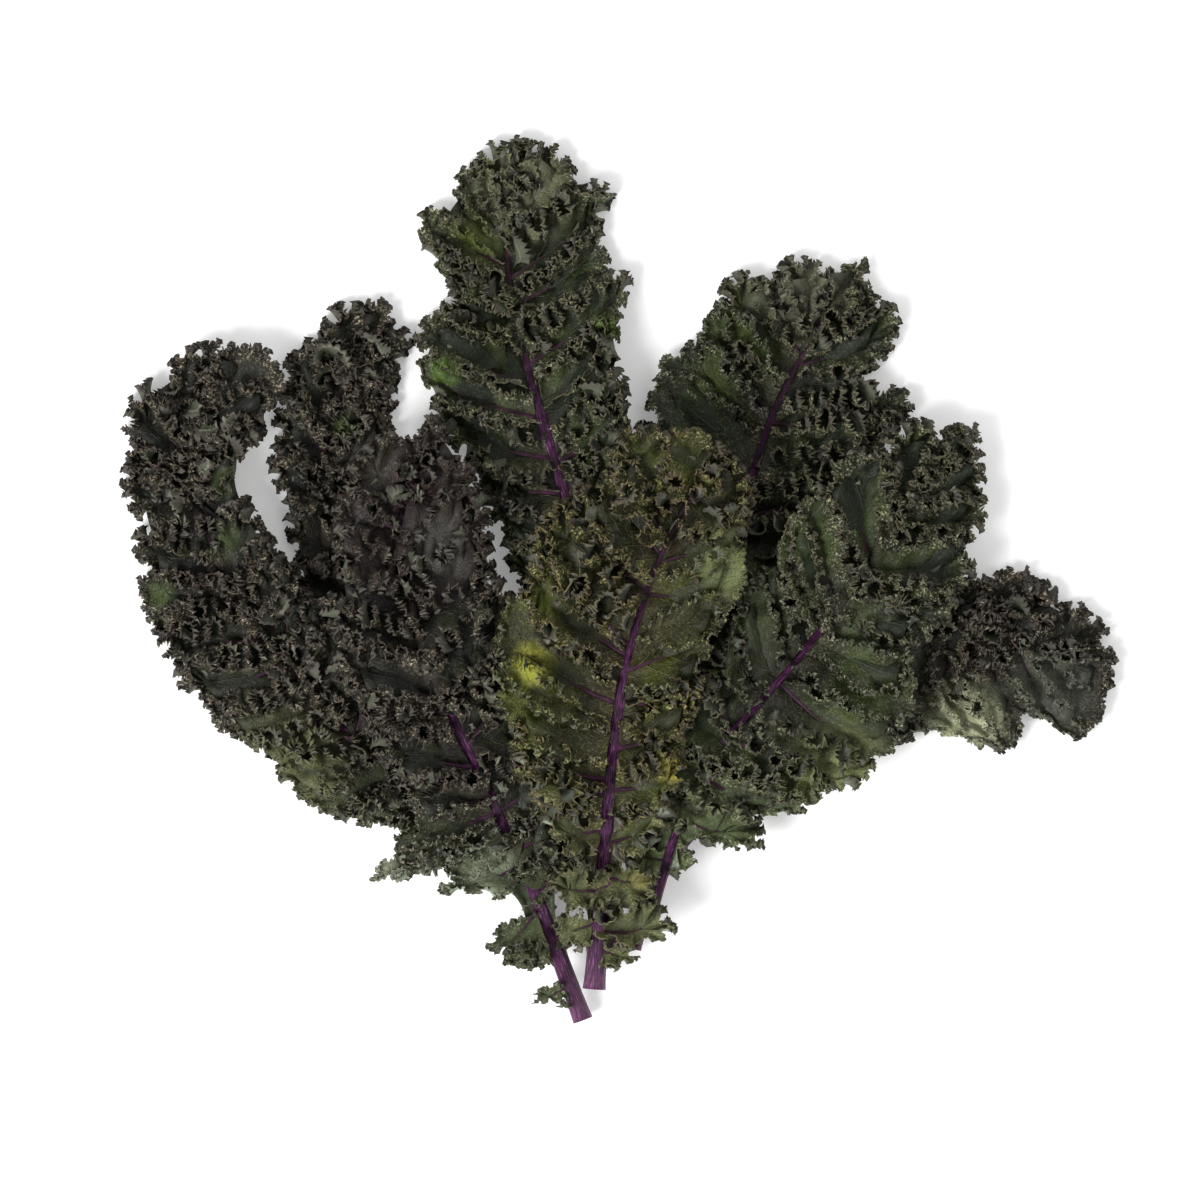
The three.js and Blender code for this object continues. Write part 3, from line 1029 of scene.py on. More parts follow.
@dataclass
class Settling:
    """How high a leaf lies, read from its two nodes in the frame.

    Args:
        leaf: The leaf.
        cell: Width of a cell of the grid that the blade's heights are spread over, in millimetres.
        softness: How far the heights are blurred, in cells.
        standing: How far a leaf stands off the table, in millimetres.
        press: How close to the table a point starts to be pressed up, in millimetres.
        top_press: How close to the top of the pile a point starts to be pressed down.
        marks: Number of even places on the midrib that its height is read at.
        spine_z: Height of the middle of the midrib at those places.
        level: Height of the blade over the grid.
        origin: The grid's first corner in plan.
    """

    leaf: Leaf
    cell: float = 4.0
    softness: float = 3.0
    standing: float = 0.4
    press: float = 2.5
    top_press: float = 5
    marks: int = 41
    spine_z: np.ndarray = field(init=False)
    level: np.ndarray = field(init=False)
    origin: np.ndarray = field(init=False)

    def __post_init__(self) -> None:
        """Reads the heights of the leaf's nodes."""
        self.spine_z = self._spine_heights()
        self._read_blade()

    def _corners(self, node: str) -> np.ndarray:
        """Reads the corner points of a node's triangles.

        Args:
            node: The node's name in the frame.

        Returns:
            Points in millimetres, as triangles, corners, axes.
        """
        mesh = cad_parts[node].data
        mesh.calc_loop_triangles()
        corners = np.zeros(len(mesh.loop_triangles) * 3, np.int32)
        mesh.loop_triangles.foreach_get("vertices", corners)
        return read_points(mesh)[corners].reshape(-1, 3, 3) / MM

    def _spine_heights(self) -> np.ndarray:
        """Reads the height of the middle of the stem.

        Returns:
            Heights in millimetres at even shares of its length.
        """
        points = self._corners(f"{self.leaf.name}_stem").reshape(-1, 3)
        shares = np.linspace(0, 1, 161)
        line, _, _ = self.leaf.midrib.at(shares)
        nearest = np.argmin(((points[:, None, :2] - line[None]) ** 2).sum(-1), axis=1)
        even = np.linspace(0, 1, self.marks)
        weights = np.exp(-(((even[:, None] - shares[nearest][None]) / 0.03) ** 2))
        return (weights @ points[:, 2]) / weights.sum(1)

    def _read_blade(self) -> None:
        """Spreads the heights of the blade's faces over a grid and blurs them."""
        corners = self._corners(f"{self.leaf.name}_blade")
        middles = corners.mean(1)
        cross = np.cross(corners[:, 1] - corners[:, 0], corners[:, 2] - corners[:, 0])
        areas = np.abs(cross[:, 2]) / 2 + 1e-3
        self.origin = middles[:, :2].min(0) - 8 * self.cell
        size = np.ceil((middles[:, :2].max(0) - self.origin) / self.cell).astype(int) + 9
        i, j = np.round((middles[:, :2] - self.origin) / self.cell).astype(int).T
        total, weight = np.zeros(size), np.zeros(size)
        np.add.at(total, (i, j), areas * middles[:, 2])
        np.add.at(weight, (i, j), areas)
        reach = np.arange(-12, 13)
        kernel = np.exp(-((reach / self.softness) ** 2) / 2)
        for axis in (0, 1):
            total = np.apply_along_axis(np.convolve, axis, total, kernel, "same")
            weight = np.apply_along_axis(np.convolve, axis, weight, kernel, "same")
        self.level = total / np.maximum(weight, 1e-6)

    def spine_height(self, share: np.ndarray) -> np.ndarray:
        """Height of the middle of the midrib at shares of its length, in millimetres."""
        return np.interp(share, np.linspace(0, 1, self.marks), self.spine_z)

    def base(self, plan: np.ndarray, out: np.ndarray, share: np.ndarray) -> np.ndarray:
        """Height of the middle of the blade's folds over points in plan.

        Args:
            plan: Points in millimetres.
            out: Shares of the way from midrib to rim.
            share: Places on the midrib.

        Returns:
            Heights in millimetres.
        """
        level = self.level
        gx = np.clip((plan[..., 0] - self.origin[0]) / self.cell, 0, level.shape[0] - 1.001)
        gy = np.clip((plan[..., 1] - self.origin[1]) / self.cell, 0, level.shape[1] - 1.001)
        i, j = gx.astype(int), gy.astype(int)
        u, v = gx - i, gy - j
        low = level[i, j] * (1 - u) + level[i + 1, j] * u
        high = level[i, j + 1] * (1 - u) + level[i + 1, j + 1] * u
        root = self.spine_height(share) + 0.3 * self.leaf.midrib.radius_at(share)
        held = ramp(out, 0.0, 0.55)
        return root * (1 - held) + (low * (1 - v) + high * v) * held

    def settle(self, points: np.ndarray) -> np.ndarray:
        """Keeps points above the table and below the top of the pile.

        Args:
            points: Points in millimetres.

        Returns:
            The points, pressed softly into that space.
        """
        z, low, high = points[..., 2], self.press, self.top_press
        z = np.where(z < low, low * np.exp((z - low) / low), z) + self.standing
        top = CAD_BOX[1][2] / MM + 0.5
        z = np.where(z > top - high, top - high * np.exp(-(z - top + high) / high), z)
        return np.dstack([points[..., :2], z])


# ---- Finishes -----------------------------------------------------------------------------------


class NodeBoard:
    """A material's nodes, added and joined with few words."""

    def __init__(self, name: str) -> None:
        """Starts an empty material with a principled shader.

        Args:
            name: The material's name.
        """
        self.material = bpy.data.materials.new(name)
        self.material.use_nodes = True
        self.tree = self.material.node_tree
        self.shader = self.tree.nodes["Principled BSDF"]

    def add(self, kind: str, **settings: object) -> bpy.types.Node:
        """Adds a node.

        Args:
            kind: Its type.
            settings: Its properties.

        Returns:
            The node.
        """
        node = self.tree.nodes.new(kind)
        for key, value in settings.items():
            setattr(node, key, value)
        return node

    def join(self, out: Socket, into: Socket) -> None:
        """Joins two sockets."""
        self.tree.links.new(out, into)

    def plain(self, name: str, value: float | tuple[float, ...]) -> None:
        """Sets one of the shader's own sockets to the same value all over."""
        self.shader.inputs[name].default_value = value

    def attribute(self, name: str) -> Socket:
        """The value of one of the piece's attributes."""
        node = self.add("ShaderNodeAttribute", attribute_type="GEOMETRY", attribute_name=name)
        return node.outputs["Fac"]

    def place(self) -> Socket:
        """The piece's own coordinates, in metres."""
        return self.add("ShaderNodeTexCoord").outputs["Object"]

    def noise(
        self, scale: float, detail: float, rough: float = 0.55, place: Socket | None = None
    ) -> Socket:
        """Soft noise.

        Args:
            scale: Waves to the metre.
            detail: How many finer layers lie on the first.
            rough: How strong each finer layer is.
            place: Coordinates to read, where they aren't the piece's own.

        Returns:
            The noise, from 0 to 1.
        """
        place = self.place() if place is None else place
        node = self.add("ShaderNodeTexNoise")
        node.inputs["Scale"].default_value = scale
        node.inputs["Detail"].default_value = detail
        node.inputs["Roughness"].default_value = rough
        self.join(place, node.inputs["Vector"])
        return node.outputs["Fac"]

    def spot(self, middle: Point, size: float) -> Socket:
        """A soft round spot in plan.

        Args:
            middle: Its middle, in millimetres.
            size: How far it reaches, in millimetres.

        Returns:
            1 inside the spot and 0 outside.
        """
        flat = self.add("ShaderNodeVectorMath", operation="MULTIPLY")
        flat.inputs[1].default_value = (1, 1, 0)
        self.join(self.place(), flat.inputs[0])
        gap = self.add("ShaderNodeVectorMath", operation="DISTANCE")
        gap.inputs[1].default_value = (middle[0] * MM, middle[1] * MM, 0)
        self.join(flat.outputs[0], gap.inputs[0])
        return self.range(gap.outputs["Value"], size * MM, 0.3 * size * MM)

    def net(self, scale: float) -> Socket:
        """The thin lines of a net.

        Args:
            scale: Cells to the metre.

        Returns:
            1 on the lines and 0 between them.
        """
        node = self.add("ShaderNodeTexVoronoi", feature="DISTANCE_TO_EDGE")
        node.inputs["Scale"].default_value = scale
        self.join(self.place(), node.inputs["Vector"])
        return self.range(node.outputs["Distance"], 0.09, 0.02)

    def range(
        self, value: Socket, low: float, high: float, to_low: float = 0, to_high: float = 1
    ) -> Socket:
        """Maps a value smoothly from one range to another.

        Args:
            value: The value.
            low: Where the first range starts.
            high: Where it ends.
            to_low: What the value becomes at its start.
            to_high: What it becomes at its end.

        Returns:
            The mapped value.
        """
        node = self.add("ShaderNodeMapRange", interpolation_type="SMOOTHSTEP", clamp=True)
        for place, number in enumerate((low, high, to_low, to_high), start=1):
            node.inputs[place].default_value = number
        self.join(value, node.inputs[0])
        return node.outputs[0]

    def math(self, kind: str, a: Socket, b: Socket | float) -> Socket:
        """A sum, product or other operation.

        Args:
            kind: The operation.
            a: The first value.
            b: The second value.

        Returns:
            The result.
        """
        node = self.add("ShaderNodeMath", operation=kind)
        self.join(a, node.inputs[0])
        if isinstance(b, (int, float)):
            node.inputs[1].default_value = b
        else:
            self.join(b, node.inputs[1])
        return node.outputs[0]

    def times(self, a: Socket, b: Socket | float) -> Socket:
        """The product of two values."""
        return self.math("MULTIPLY", a, b)

    def plus(self, a: Socket, b: Socket, share: float | None = None) -> Socket:
        """A value plus another, or plus a share of it."""
        return self.math("ADD", a, b if share is None else self.times(b, share))

    def blend(self, share: Socket, a: Socket | Colour, b: Socket | Colour) -> Socket:
        """A colour between two colours.

        Args:
            share: How much of the second colour to take.
            a: The first colour.
            b: The second colour.

        Returns:
            The colour.
        """
        node = self.add("ShaderNodeMix", data_type="RGBA")
        self.join(share, node.inputs["Factor"])
        for name, colour in (("A", a), ("B", b)):
            socket = next(s for s in node.inputs if s.name == name and s.type == "RGBA")
            if isinstance(colour, tuple):
                socket.default_value = (*colour, 1)
            else:
                self.join(colour, socket)
        return next(s for s in node.outputs if s.type == "RGBA")

    def fine_veins(
        self, out: Socket, edge: tuple[float, float], fade: tuple[float, float]
    ) -> Socket:
        """The fine veins that fan out from the midrib.

        Args:
            out: Share of the way from the midrib to the rim.
            edge: Where a vein ends and where it is whole, as shares of the way to the next.
            fade: How far out the veins end, and how far out they are still whole.

        Returns:
            1 on the veins and 0 between them.
        """
        bent = self.plus(self.attribute("veins"), self.noise(45, 2), 0.35)
        line = self.range(self.math("PINGPONG", bent, 0.5), *edge)
        return self.times(line, self.range(out, *fade))

    def finish(
        self, colour: Socket, height: Socket, depth: float, strength: float
    ) -> bpy.types.Material:
        """Gives the shader its colour and relief.

        Args:
            colour: The colour.
            height: The relief, from 0 to 1.
            depth: How deep the relief is, in metres.
            strength: How strongly it shows.

        Returns:
            The finished material.
        """
        self.join(colour, self.shader.inputs["Base Color"])
        node = self.add("ShaderNodeBump")
        node.inputs["Strength"].default_value = strength
        node.inputs["Distance"].default_value = depth
        self.join(height, node.inputs["Height"])
        self.join(node.outputs["Normal"], self.shader.inputs["Normal"])
        return self.material


def srgb(red: int, green: int, blue: int) -> Colour:
    """A colour as the shader takes it.

    Args:
        red: Red as it looks on a screen, from 0 to 255.
        green: Green.
        blue: Blue.

    Returns:
        The same colour in linear light.
    """

    def linear(value: int) -> float:
        """One channel in linear light."""
        share = value / 255
        return share / 12.92 if share <= 0.04045 else ((share + 0.055) / 1.055) ** 2.4

    return linear(red), linear(green), linear(blue)


@dataclass(frozen=True)
class Spot:
    """A soft spot of another colour on a blade.

    Args:
        place: Its middle in plan, in millimetres.
        size: How far it reaches, in millimetres.
        colour: Its colour.
    """

    place: Point
    size: float
    colour: Colour


@dataclass(frozen=True)
class BladeFinish:
    """The skin of a blade's upper side.

    Args:
        slot: The record's material slot.
        heart: Colour of the blade beside the midrib.
        deep: Colour of its darker patches, and of the painted shade on its inner blade.
        fresh: Colour of its brighter patches.
        flush: Colour that spreads in from the rim.
        rim: Colour of the teeth: their own tint, lightened to be a painted highlight along the
            edge.
        bloom_and_highlight: Colour of the waxy bloom on the curls, drawn light enough to be their
            painted highlight.
        vein: Colour of the fine veins.
        shade: Colour of the painted shade deep down between the curls and in the frill's dark
            flecks.
        base_tint: Colour that spreads up from the leaf's base.
        flushed: How far the flush reaches in from the rim, in millimetres.
        spots: Its yellowed, faded and fresh spots.
    """

    slot: str
    heart: Colour
    deep: Colour
    fresh: Colour
    flush: Colour
    rim: Colour
    bloom_and_highlight: Colour
    vein: Colour
    shade: Colour
    base_tint: Colour
    flushed: float
    spots: tuple[Spot, ...] = ()

    def material(self) -> bpy.types.Material:
        """Makes the material.

        Returns:
            The material, with the slot's name.
        """
        board = NodeBoard(self.slot)
        away, out = board.attribute("away"), board.attribute("out")
        middle, fine = board.noise(110, 4), board.noise(620, 3, 0.65)
        speck = board.noise(950, 3, 0.6)
        ribs = board.fine_veins(out, (0.07, 0.01), (0.95, 0.3))
        ribs = board.math("MAXIMUM", ribs, board.times(board.net(300), 0.6))
        colour = self._ground(board, away, out, middle)
        colour = self._frill(board, colour, away, fine, speck)
        mottled = board.range(board.plus(middle, speck, 0.6), 0.6, 0.9, 0.3, 0.85)
        for spot in self.spots:
            soft = board.times(board.spot(spot.place, spot.size), mottled)
            colour = board.blend(soft, colour, spot.colour)
        colour = board.blend(board.times(ribs, 0.25), colour, self.vein)
        # Lighter towards the leaf's base.
        base_tint = board.range(board.plus(board.attribute("share"), middle, 0.3), 0.62, 0.3)
        colour = board.blend(board.times(base_tint, 0.5), colour, self.base_tint)
        # Painted shade: the lower the curls leave a point, the darker it is drawn, as if in shadow.
        painted_hollow_shade = board.range(board.plus(board.attribute("rise"), middle), 1.0, -3.2)
        colour = board.blend(board.times(painted_hollow_shade, 0.72), colour, self.shade)
        board.join(board.range(fine, 0.35, 0.65, 0.58, 0.4), board.shader.inputs["Roughness"])
        board.plain("Specular IOR Level", 0.3)
        grain = board.plus(board.times(fine, 0.7), speck, 0.6)
        grain = board.times(grain, board.range(away, 14.0, 4.0, 0.45, 1))
        return board.finish(colour, board.plus(grain, ribs, 0.4), depth=0.0012, strength=0.8)

    def _ground(self, board: NodeBoard, away: Socket, out: Socket, middle: Socket) -> Socket:
        """The blade's own colour, patch by patch, with painted shade on its inner part.

        Args:
            board: The material's nodes.
            away: Distance from the rim.
            out: Share of the way from the midrib to the rim.
            middle: Noise of middling size.

        Returns:
            The colour.
        """
        colour = board.blend(board.range(board.noise(28, 3), 0.44, 0.66), self.deep, self.fresh)
        glow = board.range(board.plus(out, middle, 0.3), 0.5, 0.12)
        colour = board.blend(board.times(glow, 0.7), colour, self.heart)
        near = board.range(board.plus(away, middle, 7.0), self.flushed + 6, 3.0)
        near = board.times(near, board.range(board.noise(52, 2), 0.42, 0.58, 0.3, 1))
        near = board.times(near, board.range(middle, 0.3, 0.6, 0.35, 1))
        colour = board.blend(near, colour, self.flush)
        # Painted shade: the blade far in from the rim is drawn dark, as the shadow between the
        # frills.
        inner = board.times(board.range(away, 9.0, 19.0), board.range(middle, 0.35, 0.6, 0.4, 0.85))
        return board.blend(inner, colour, self.deep)

    def _frill(
        self, board: NodeBoard, colour: Socket, away: Socket, fine: Socket, speck: Socket
    ) -> Socket:
        """Adds the waxy bloom with its painted highlight, the dark flecks of painted shade, and the
        teeth in their own tint lightened as a painted highlight.

        Args:
            board: The material's nodes.
            colour: The blade's own colour.
            away: Distance from the rim.
            fine: Fine noise.
            speck: The finest noise.

        Returns:
            The colour.
        """
        # Waxy bloom near the rim, drawn light as a painted highlight on the curls.
        bloom_and_highlight_mask = board.times(board.range(away, 11.0, 2.0), board.range(fine, 0.48, 0.62))
        bloom_and_highlight_mask = board.times(bloom_and_highlight_mask, board.range(speck, 0.45, 0.57, 0.1, 1))
        colour = board.blend(board.times(bloom_and_highlight_mask, 0.95), colour, self.bloom_and_highlight)
        # Painted shade: dark flecks across the frill stand in for the shadow in its small hollows.
        dim = board.times(board.range(away, 18.0, 4.0), board.range(speck, 0.5, 0.4, 0, 0.75))
        colour = board.blend(dim, colour, self.shade)
        # The teeth in their own tint, made light as a painted highlight where the rim catches the
        # light.
        edge = board.range(board.plus(away, fine, 0.8), 1.0, 0.5)
        edge = board.times(edge, board.range(speck, 0.4, 0.56, 0.15, 0.95))
        return board.blend(edge, colour, self.rim)


@dataclass(frozen=True)
class UndersideFinish:
    """The pale underside of a blade.

    Args:
        name: Name of the material.
        pale: Its colour.
        flush: Colour of its flushed patches.
        vein: Colour of its veins.
        base_tint: Its colour near the leaf's base.
    """

    name: str
    pale: Colour
    flush: Colour
    vein: Colour
    base_tint: Colour

    def material(self) -> bpy.types.Material:
        """Makes the material.

        Returns:
            The material.
        """
        board = NodeBoard(self.name)
        out = board.attribute("out")
        base_tint = board.range(board.attribute("share"), 0.5, 0.25)
        colour = board.blend(base_tint, self.pale, self.base_tint)
        colour = board.blend(board.range(board.noise(90, 4), 0.42, 0.66), colour, self.flush)
        edge = board.range(board.attribute("away"), 2.5, 0.5)
        colour = board.blend(edge, colour, self.flush)
        ribs = board.fine_veins(out, (0.12, 0.03), (0.98, 0.4))
        colour = board.blend(board.times(ribs, 0.7), colour, self.vein)
        board.plain("Roughness", 0.72)
        height = board.plus(board.noise(700, 3), ribs)
        return board.finish(colour, height, depth=0.0006, strength=0.5)


@dataclass(frozen=True)
class StemFinish:
    """The purple skin of petioles, midribs and side veins.

    Args:
        slot: The record's material slot.
        dark: Colour of its darker streaks.
        bright: Colour of its brighter streaks.
        streak: Colour of its pale streaks.
        faded: Colour of its thin ends.
        dusty: Colour that it is worn to near the cut end.
    """

    slot: str
    dark: Colour
    bright: Colour
    streak: Colour
    faded: Colour
    dusty: Colour

    def material(self) -> bpy.types.Material:
        """Makes the material.

        Returns:
            The material, with the slot's name.
        """
        board = NodeBoard(self.slot)
        along = board.attribute("along")
        axes = board.add("ShaderNodeCombineXYZ")
        board.join(board.times(board.attribute("around"), 14.0), axes.inputs[0])
        board.join(board.times(along, 0.09), axes.inputs[1])
        streaks = board.noise(1.6, 5, 0.62, axes.outputs[0])
        mottle = board.noise(160, 4)
        bright = board.range(board.plus(streaks, mottle, 0.5), 0.64, 0.86)
        colour = board.blend(bright, self.dark, self.bright)
        worn = board.range(board.plus(along, mottle, 30.0), 42.0, 14.0)
        worn = board.times(worn, board.range(streaks, 0.3, 0.6, 0.05, 0.45))
        colour = board.blend(worn, colour, self.dusty)
        pale = board.times(board.range(streaks, 0.53, 0.64), board.range(mottle, 0.36, 0.58))
        colour = board.blend(board.times(pale, 0.75), colour, self.streak)
        colour = board.blend(board.attribute("faded"), colour, self.faded)
        board.plain("Roughness", 0.46)
        board.plain("Specular IOR Level", 0.3)
        relief = board.plus(streaks, board.noise(900, 2), 0.2)
        return board.finish(colour, relief, depth=0.001, strength=0.7)


@dataclass(frozen=True)
class CutFinish:
    """The pale, moist face where a petiole was cut.

    Args:
        name: Name of the material.
        pith: Colour of its middle.
        skin: Colour of its darker flecks.
    """

    name: str
    pith: Colour
    skin: Colour

    def material(self) -> bpy.types.Material:
        """Makes the material.

        Returns:
            The material.
        """
        board = NodeBoard(self.name)
        colour = board.blend(board.range(board.noise(800, 3), 0.35, 0.7), self.pith, self.skin)
        board.plain("Roughness", 0.5)
        return board.finish(colour, board.noise(1400, 2), depth=0.0004, strength=0.4)


@dataclass(frozen=True)
class TableFinish:
    """The plain white surface that the bunch lies on, lit a little from below.

    Args:
        tone: How white it is, from 0 to 1.
        glow: How strongly it shines by itself.
    """

    tone: float
    glow: float

    def material(self) -> bpy.types.Material:
        """Makes the material.

        Returns:
            The material.
        """
        board = NodeBoard("table_white")
        board.plain("Base Color", (self.tone, self.tone, self.tone, 1))
        board.plain("Roughness", 0.9)
        board.plain("Specular IOR Level", 0.1)
        board.plain("Emission Color", (1, 1, 1, 1))
        board.plain("Emission Strength", self.glow)
        return board.material


class Skin(Enum):
    """The three colourings of a blade."""

    GREEN = BladeFinish(
        slot="blade_green",
        heart=srgb(34, 22, 22),
        deep=srgb(22, 29, 14),
        fresh=srgb(60, 75, 29),
        flush=srgb(75, 77, 50),
        rim=srgb(104, 97, 74),
        bloom_and_highlight=srgb(194, 194, 160),
        vein=srgb(96, 102, 74),
        shade=srgb(7, 8, 4),
        base_tint=srgb(112, 126, 82),
        flushed=13,
        spots=(
            Spot((-5, 114), 10, srgb(92, 112, 50)),
            Spot((-62, 154), 16, srgb(92, 104, 40)),
            Spot((-54, 190), 13, srgb(104, 110, 62)),
            Spot((-42, 172), 32, srgb(112, 113, 86)),
            Spot((78, 134), 32, srgb(116, 115, 96)),
            Spot((-40, 38), 22, srgb(36, 34, 20)),
            Spot((98, -86), 30, srgb(118, 124, 80)),
            Spot((66, -40), 30, srgb(34, 34, 22)),
            Spot((106, -27), 12, srgb(82, 92, 62)),
            Spot((-78, 92), 10, srgb(92, 118, 46)),
        ),
    )
    PURPLE = BladeFinish(
        slot="blade_purple",
        heart=srgb(30, 20, 23),
        deep=srgb(19, 20, 13),
        fresh=srgb(43, 51, 28),
        flush=srgb(59, 53, 41),
        rim=srgb(88, 75, 68),
        bloom_and_highlight=srgb(198, 187, 160),
        vein=srgb(80, 80, 70),
        shade=srgb(7, 6, 5),
        base_tint=srgb(100, 112, 76),
        flushed=16,
        spots=(
            Spot((-175, 43), 9, srgb(72, 86, 48)),
            Spot((-177, 17), 12, srgb(68, 81, 46)),
            Spot((-122, 68), 8, srgb(84, 100, 54)),
            Spot((-205, -7), 9, srgb(84, 100, 52)),
            Spot((-90, 26), 56, srgb(52, 38, 40)),
            Spot((-80, 14), 22, srgb(88, 86, 80)),
            Spot((156, -64), 24, srgb(192, 196, 158)),
            Spot((194, -48), 24, srgb(104, 108, 94)),
            Spot((128, -40), 20, srgb(92, 94, 80)),
            Spot((-58, -129), 16, srgb(156, 164, 138)),
            Spot((-108, -127), 13, srgb(162, 166, 142)),
            Spot((-148, -86), 38, srgb(112, 114, 78)),
        ),
    )
    OLIVE = BladeFinish(
        slot="blade_olive",
        heart=srgb(42, 26, 23),
        deep=srgb(34, 36, 15),
        fresh=srgb(78, 87, 28),
        flush=srgb(84, 82, 44),
        rim=srgb(112, 95, 64),
        bloom_and_highlight=srgb(188, 184, 124),
        vein=srgb(112, 114, 72),
        shade=srgb(10, 9, 4),
        base_tint=srgb(112, 117, 84),
        flushed=12,
        spots=(
            Spot((-38, -38), 13, srgb(172, 174, 66)),
            Spot((24, -86), 9, srgb(160, 148, 58)),
            Spot((9, -135), 7, srgb(150, 132, 54)),
            Spot((48, 8), 20, srgb(116, 126, 82)),
        ),
    )


# ---- The pieces ---------------------------------------------------------------------------------


@dataclass
class BladePiece:
    """The blade of one leaf: its web and its lobes.

    Args:
        leaf: The leaf.
        settling: How high it lies.
        skin: Its colouring.
        over: Outlines of the leaves that lie on it.
        thickness: Thickness of the blade, in millimetres.
        lobes: The lobes.
        parts: The web and the lobes.
        sheets: The sheet of each part.
    """

    leaf: Leaf
    settling: Settling
    skin: Skin
    over: list[np.ndarray]
    thickness: float = 0.42
    lobes: list[Lobe] = field(init=False)
    parts: list[Web | Lobe] = field(init=False)
    sheets: list[Sheet] = field(init=False)

    def __post_init__(self) -> None:
        """Bends the web and the lobes and lays them down."""
        centres = enumerate(self.leaf.hollows())
        self.lobes = [Lobe(self.leaf, centre, number, self.over) for number, centre in centres]
        self.parts = [Web(self.leaf), *self.lobes]
        self.sheets = [part.sheet(self.settling) for part in self.parts]
        for sheet in self.sheets:
            sheet.points = self.settling.settle(sheet.points)

    def build(self, finishes: dict[str, bpy.types.Material]) -> bpy.types.Object:
        """Makes the blade's object.

        Args:
            finishes: Materials by name.

        Returns:
            The finished piece.
        """
        bm = bmesh.new()
        for tag, part in enumerate(self.parts):
            part.rows.strip(bm, part.cells, tag)
        name = f"{self.leaf.name}_frill"
        mesh = finish_mesh(bm, name)
        station, row, tag = np.rint(read_points(mesh)).astype(int).T
        points = np.zeros((len(mesh.vertices), 3))
        values = {key: np.zeros(len(points)) for key in ("away", "out", "share", "veins", "rise")}
        for number, sheet in enumerate(self.sheets):
            own = tag == number
            points[own] = sheet.points[station[own], row[own]]
            for key, numbers in values.items():
                numbers[own] = getattr(sheet, key)[station[own], row[own]]
        shape_mesh(mesh, points, values)
        piece = show(name, mesh, finishes[self.skin.value.slot], finishes["underside"])
        wall = piece.modifiers.new("wall", "SOLIDIFY")
        wall.thickness = self.thickness * MM
        wall.offset = 0
        wall.material_offset = 1
        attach(piece, "root")
        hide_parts(f"{self.leaf.name}_blade")
        LOG.info("%s: %d lobes, %d points", piece.name, len(self.lobes), len(mesh.vertices))
        return piece


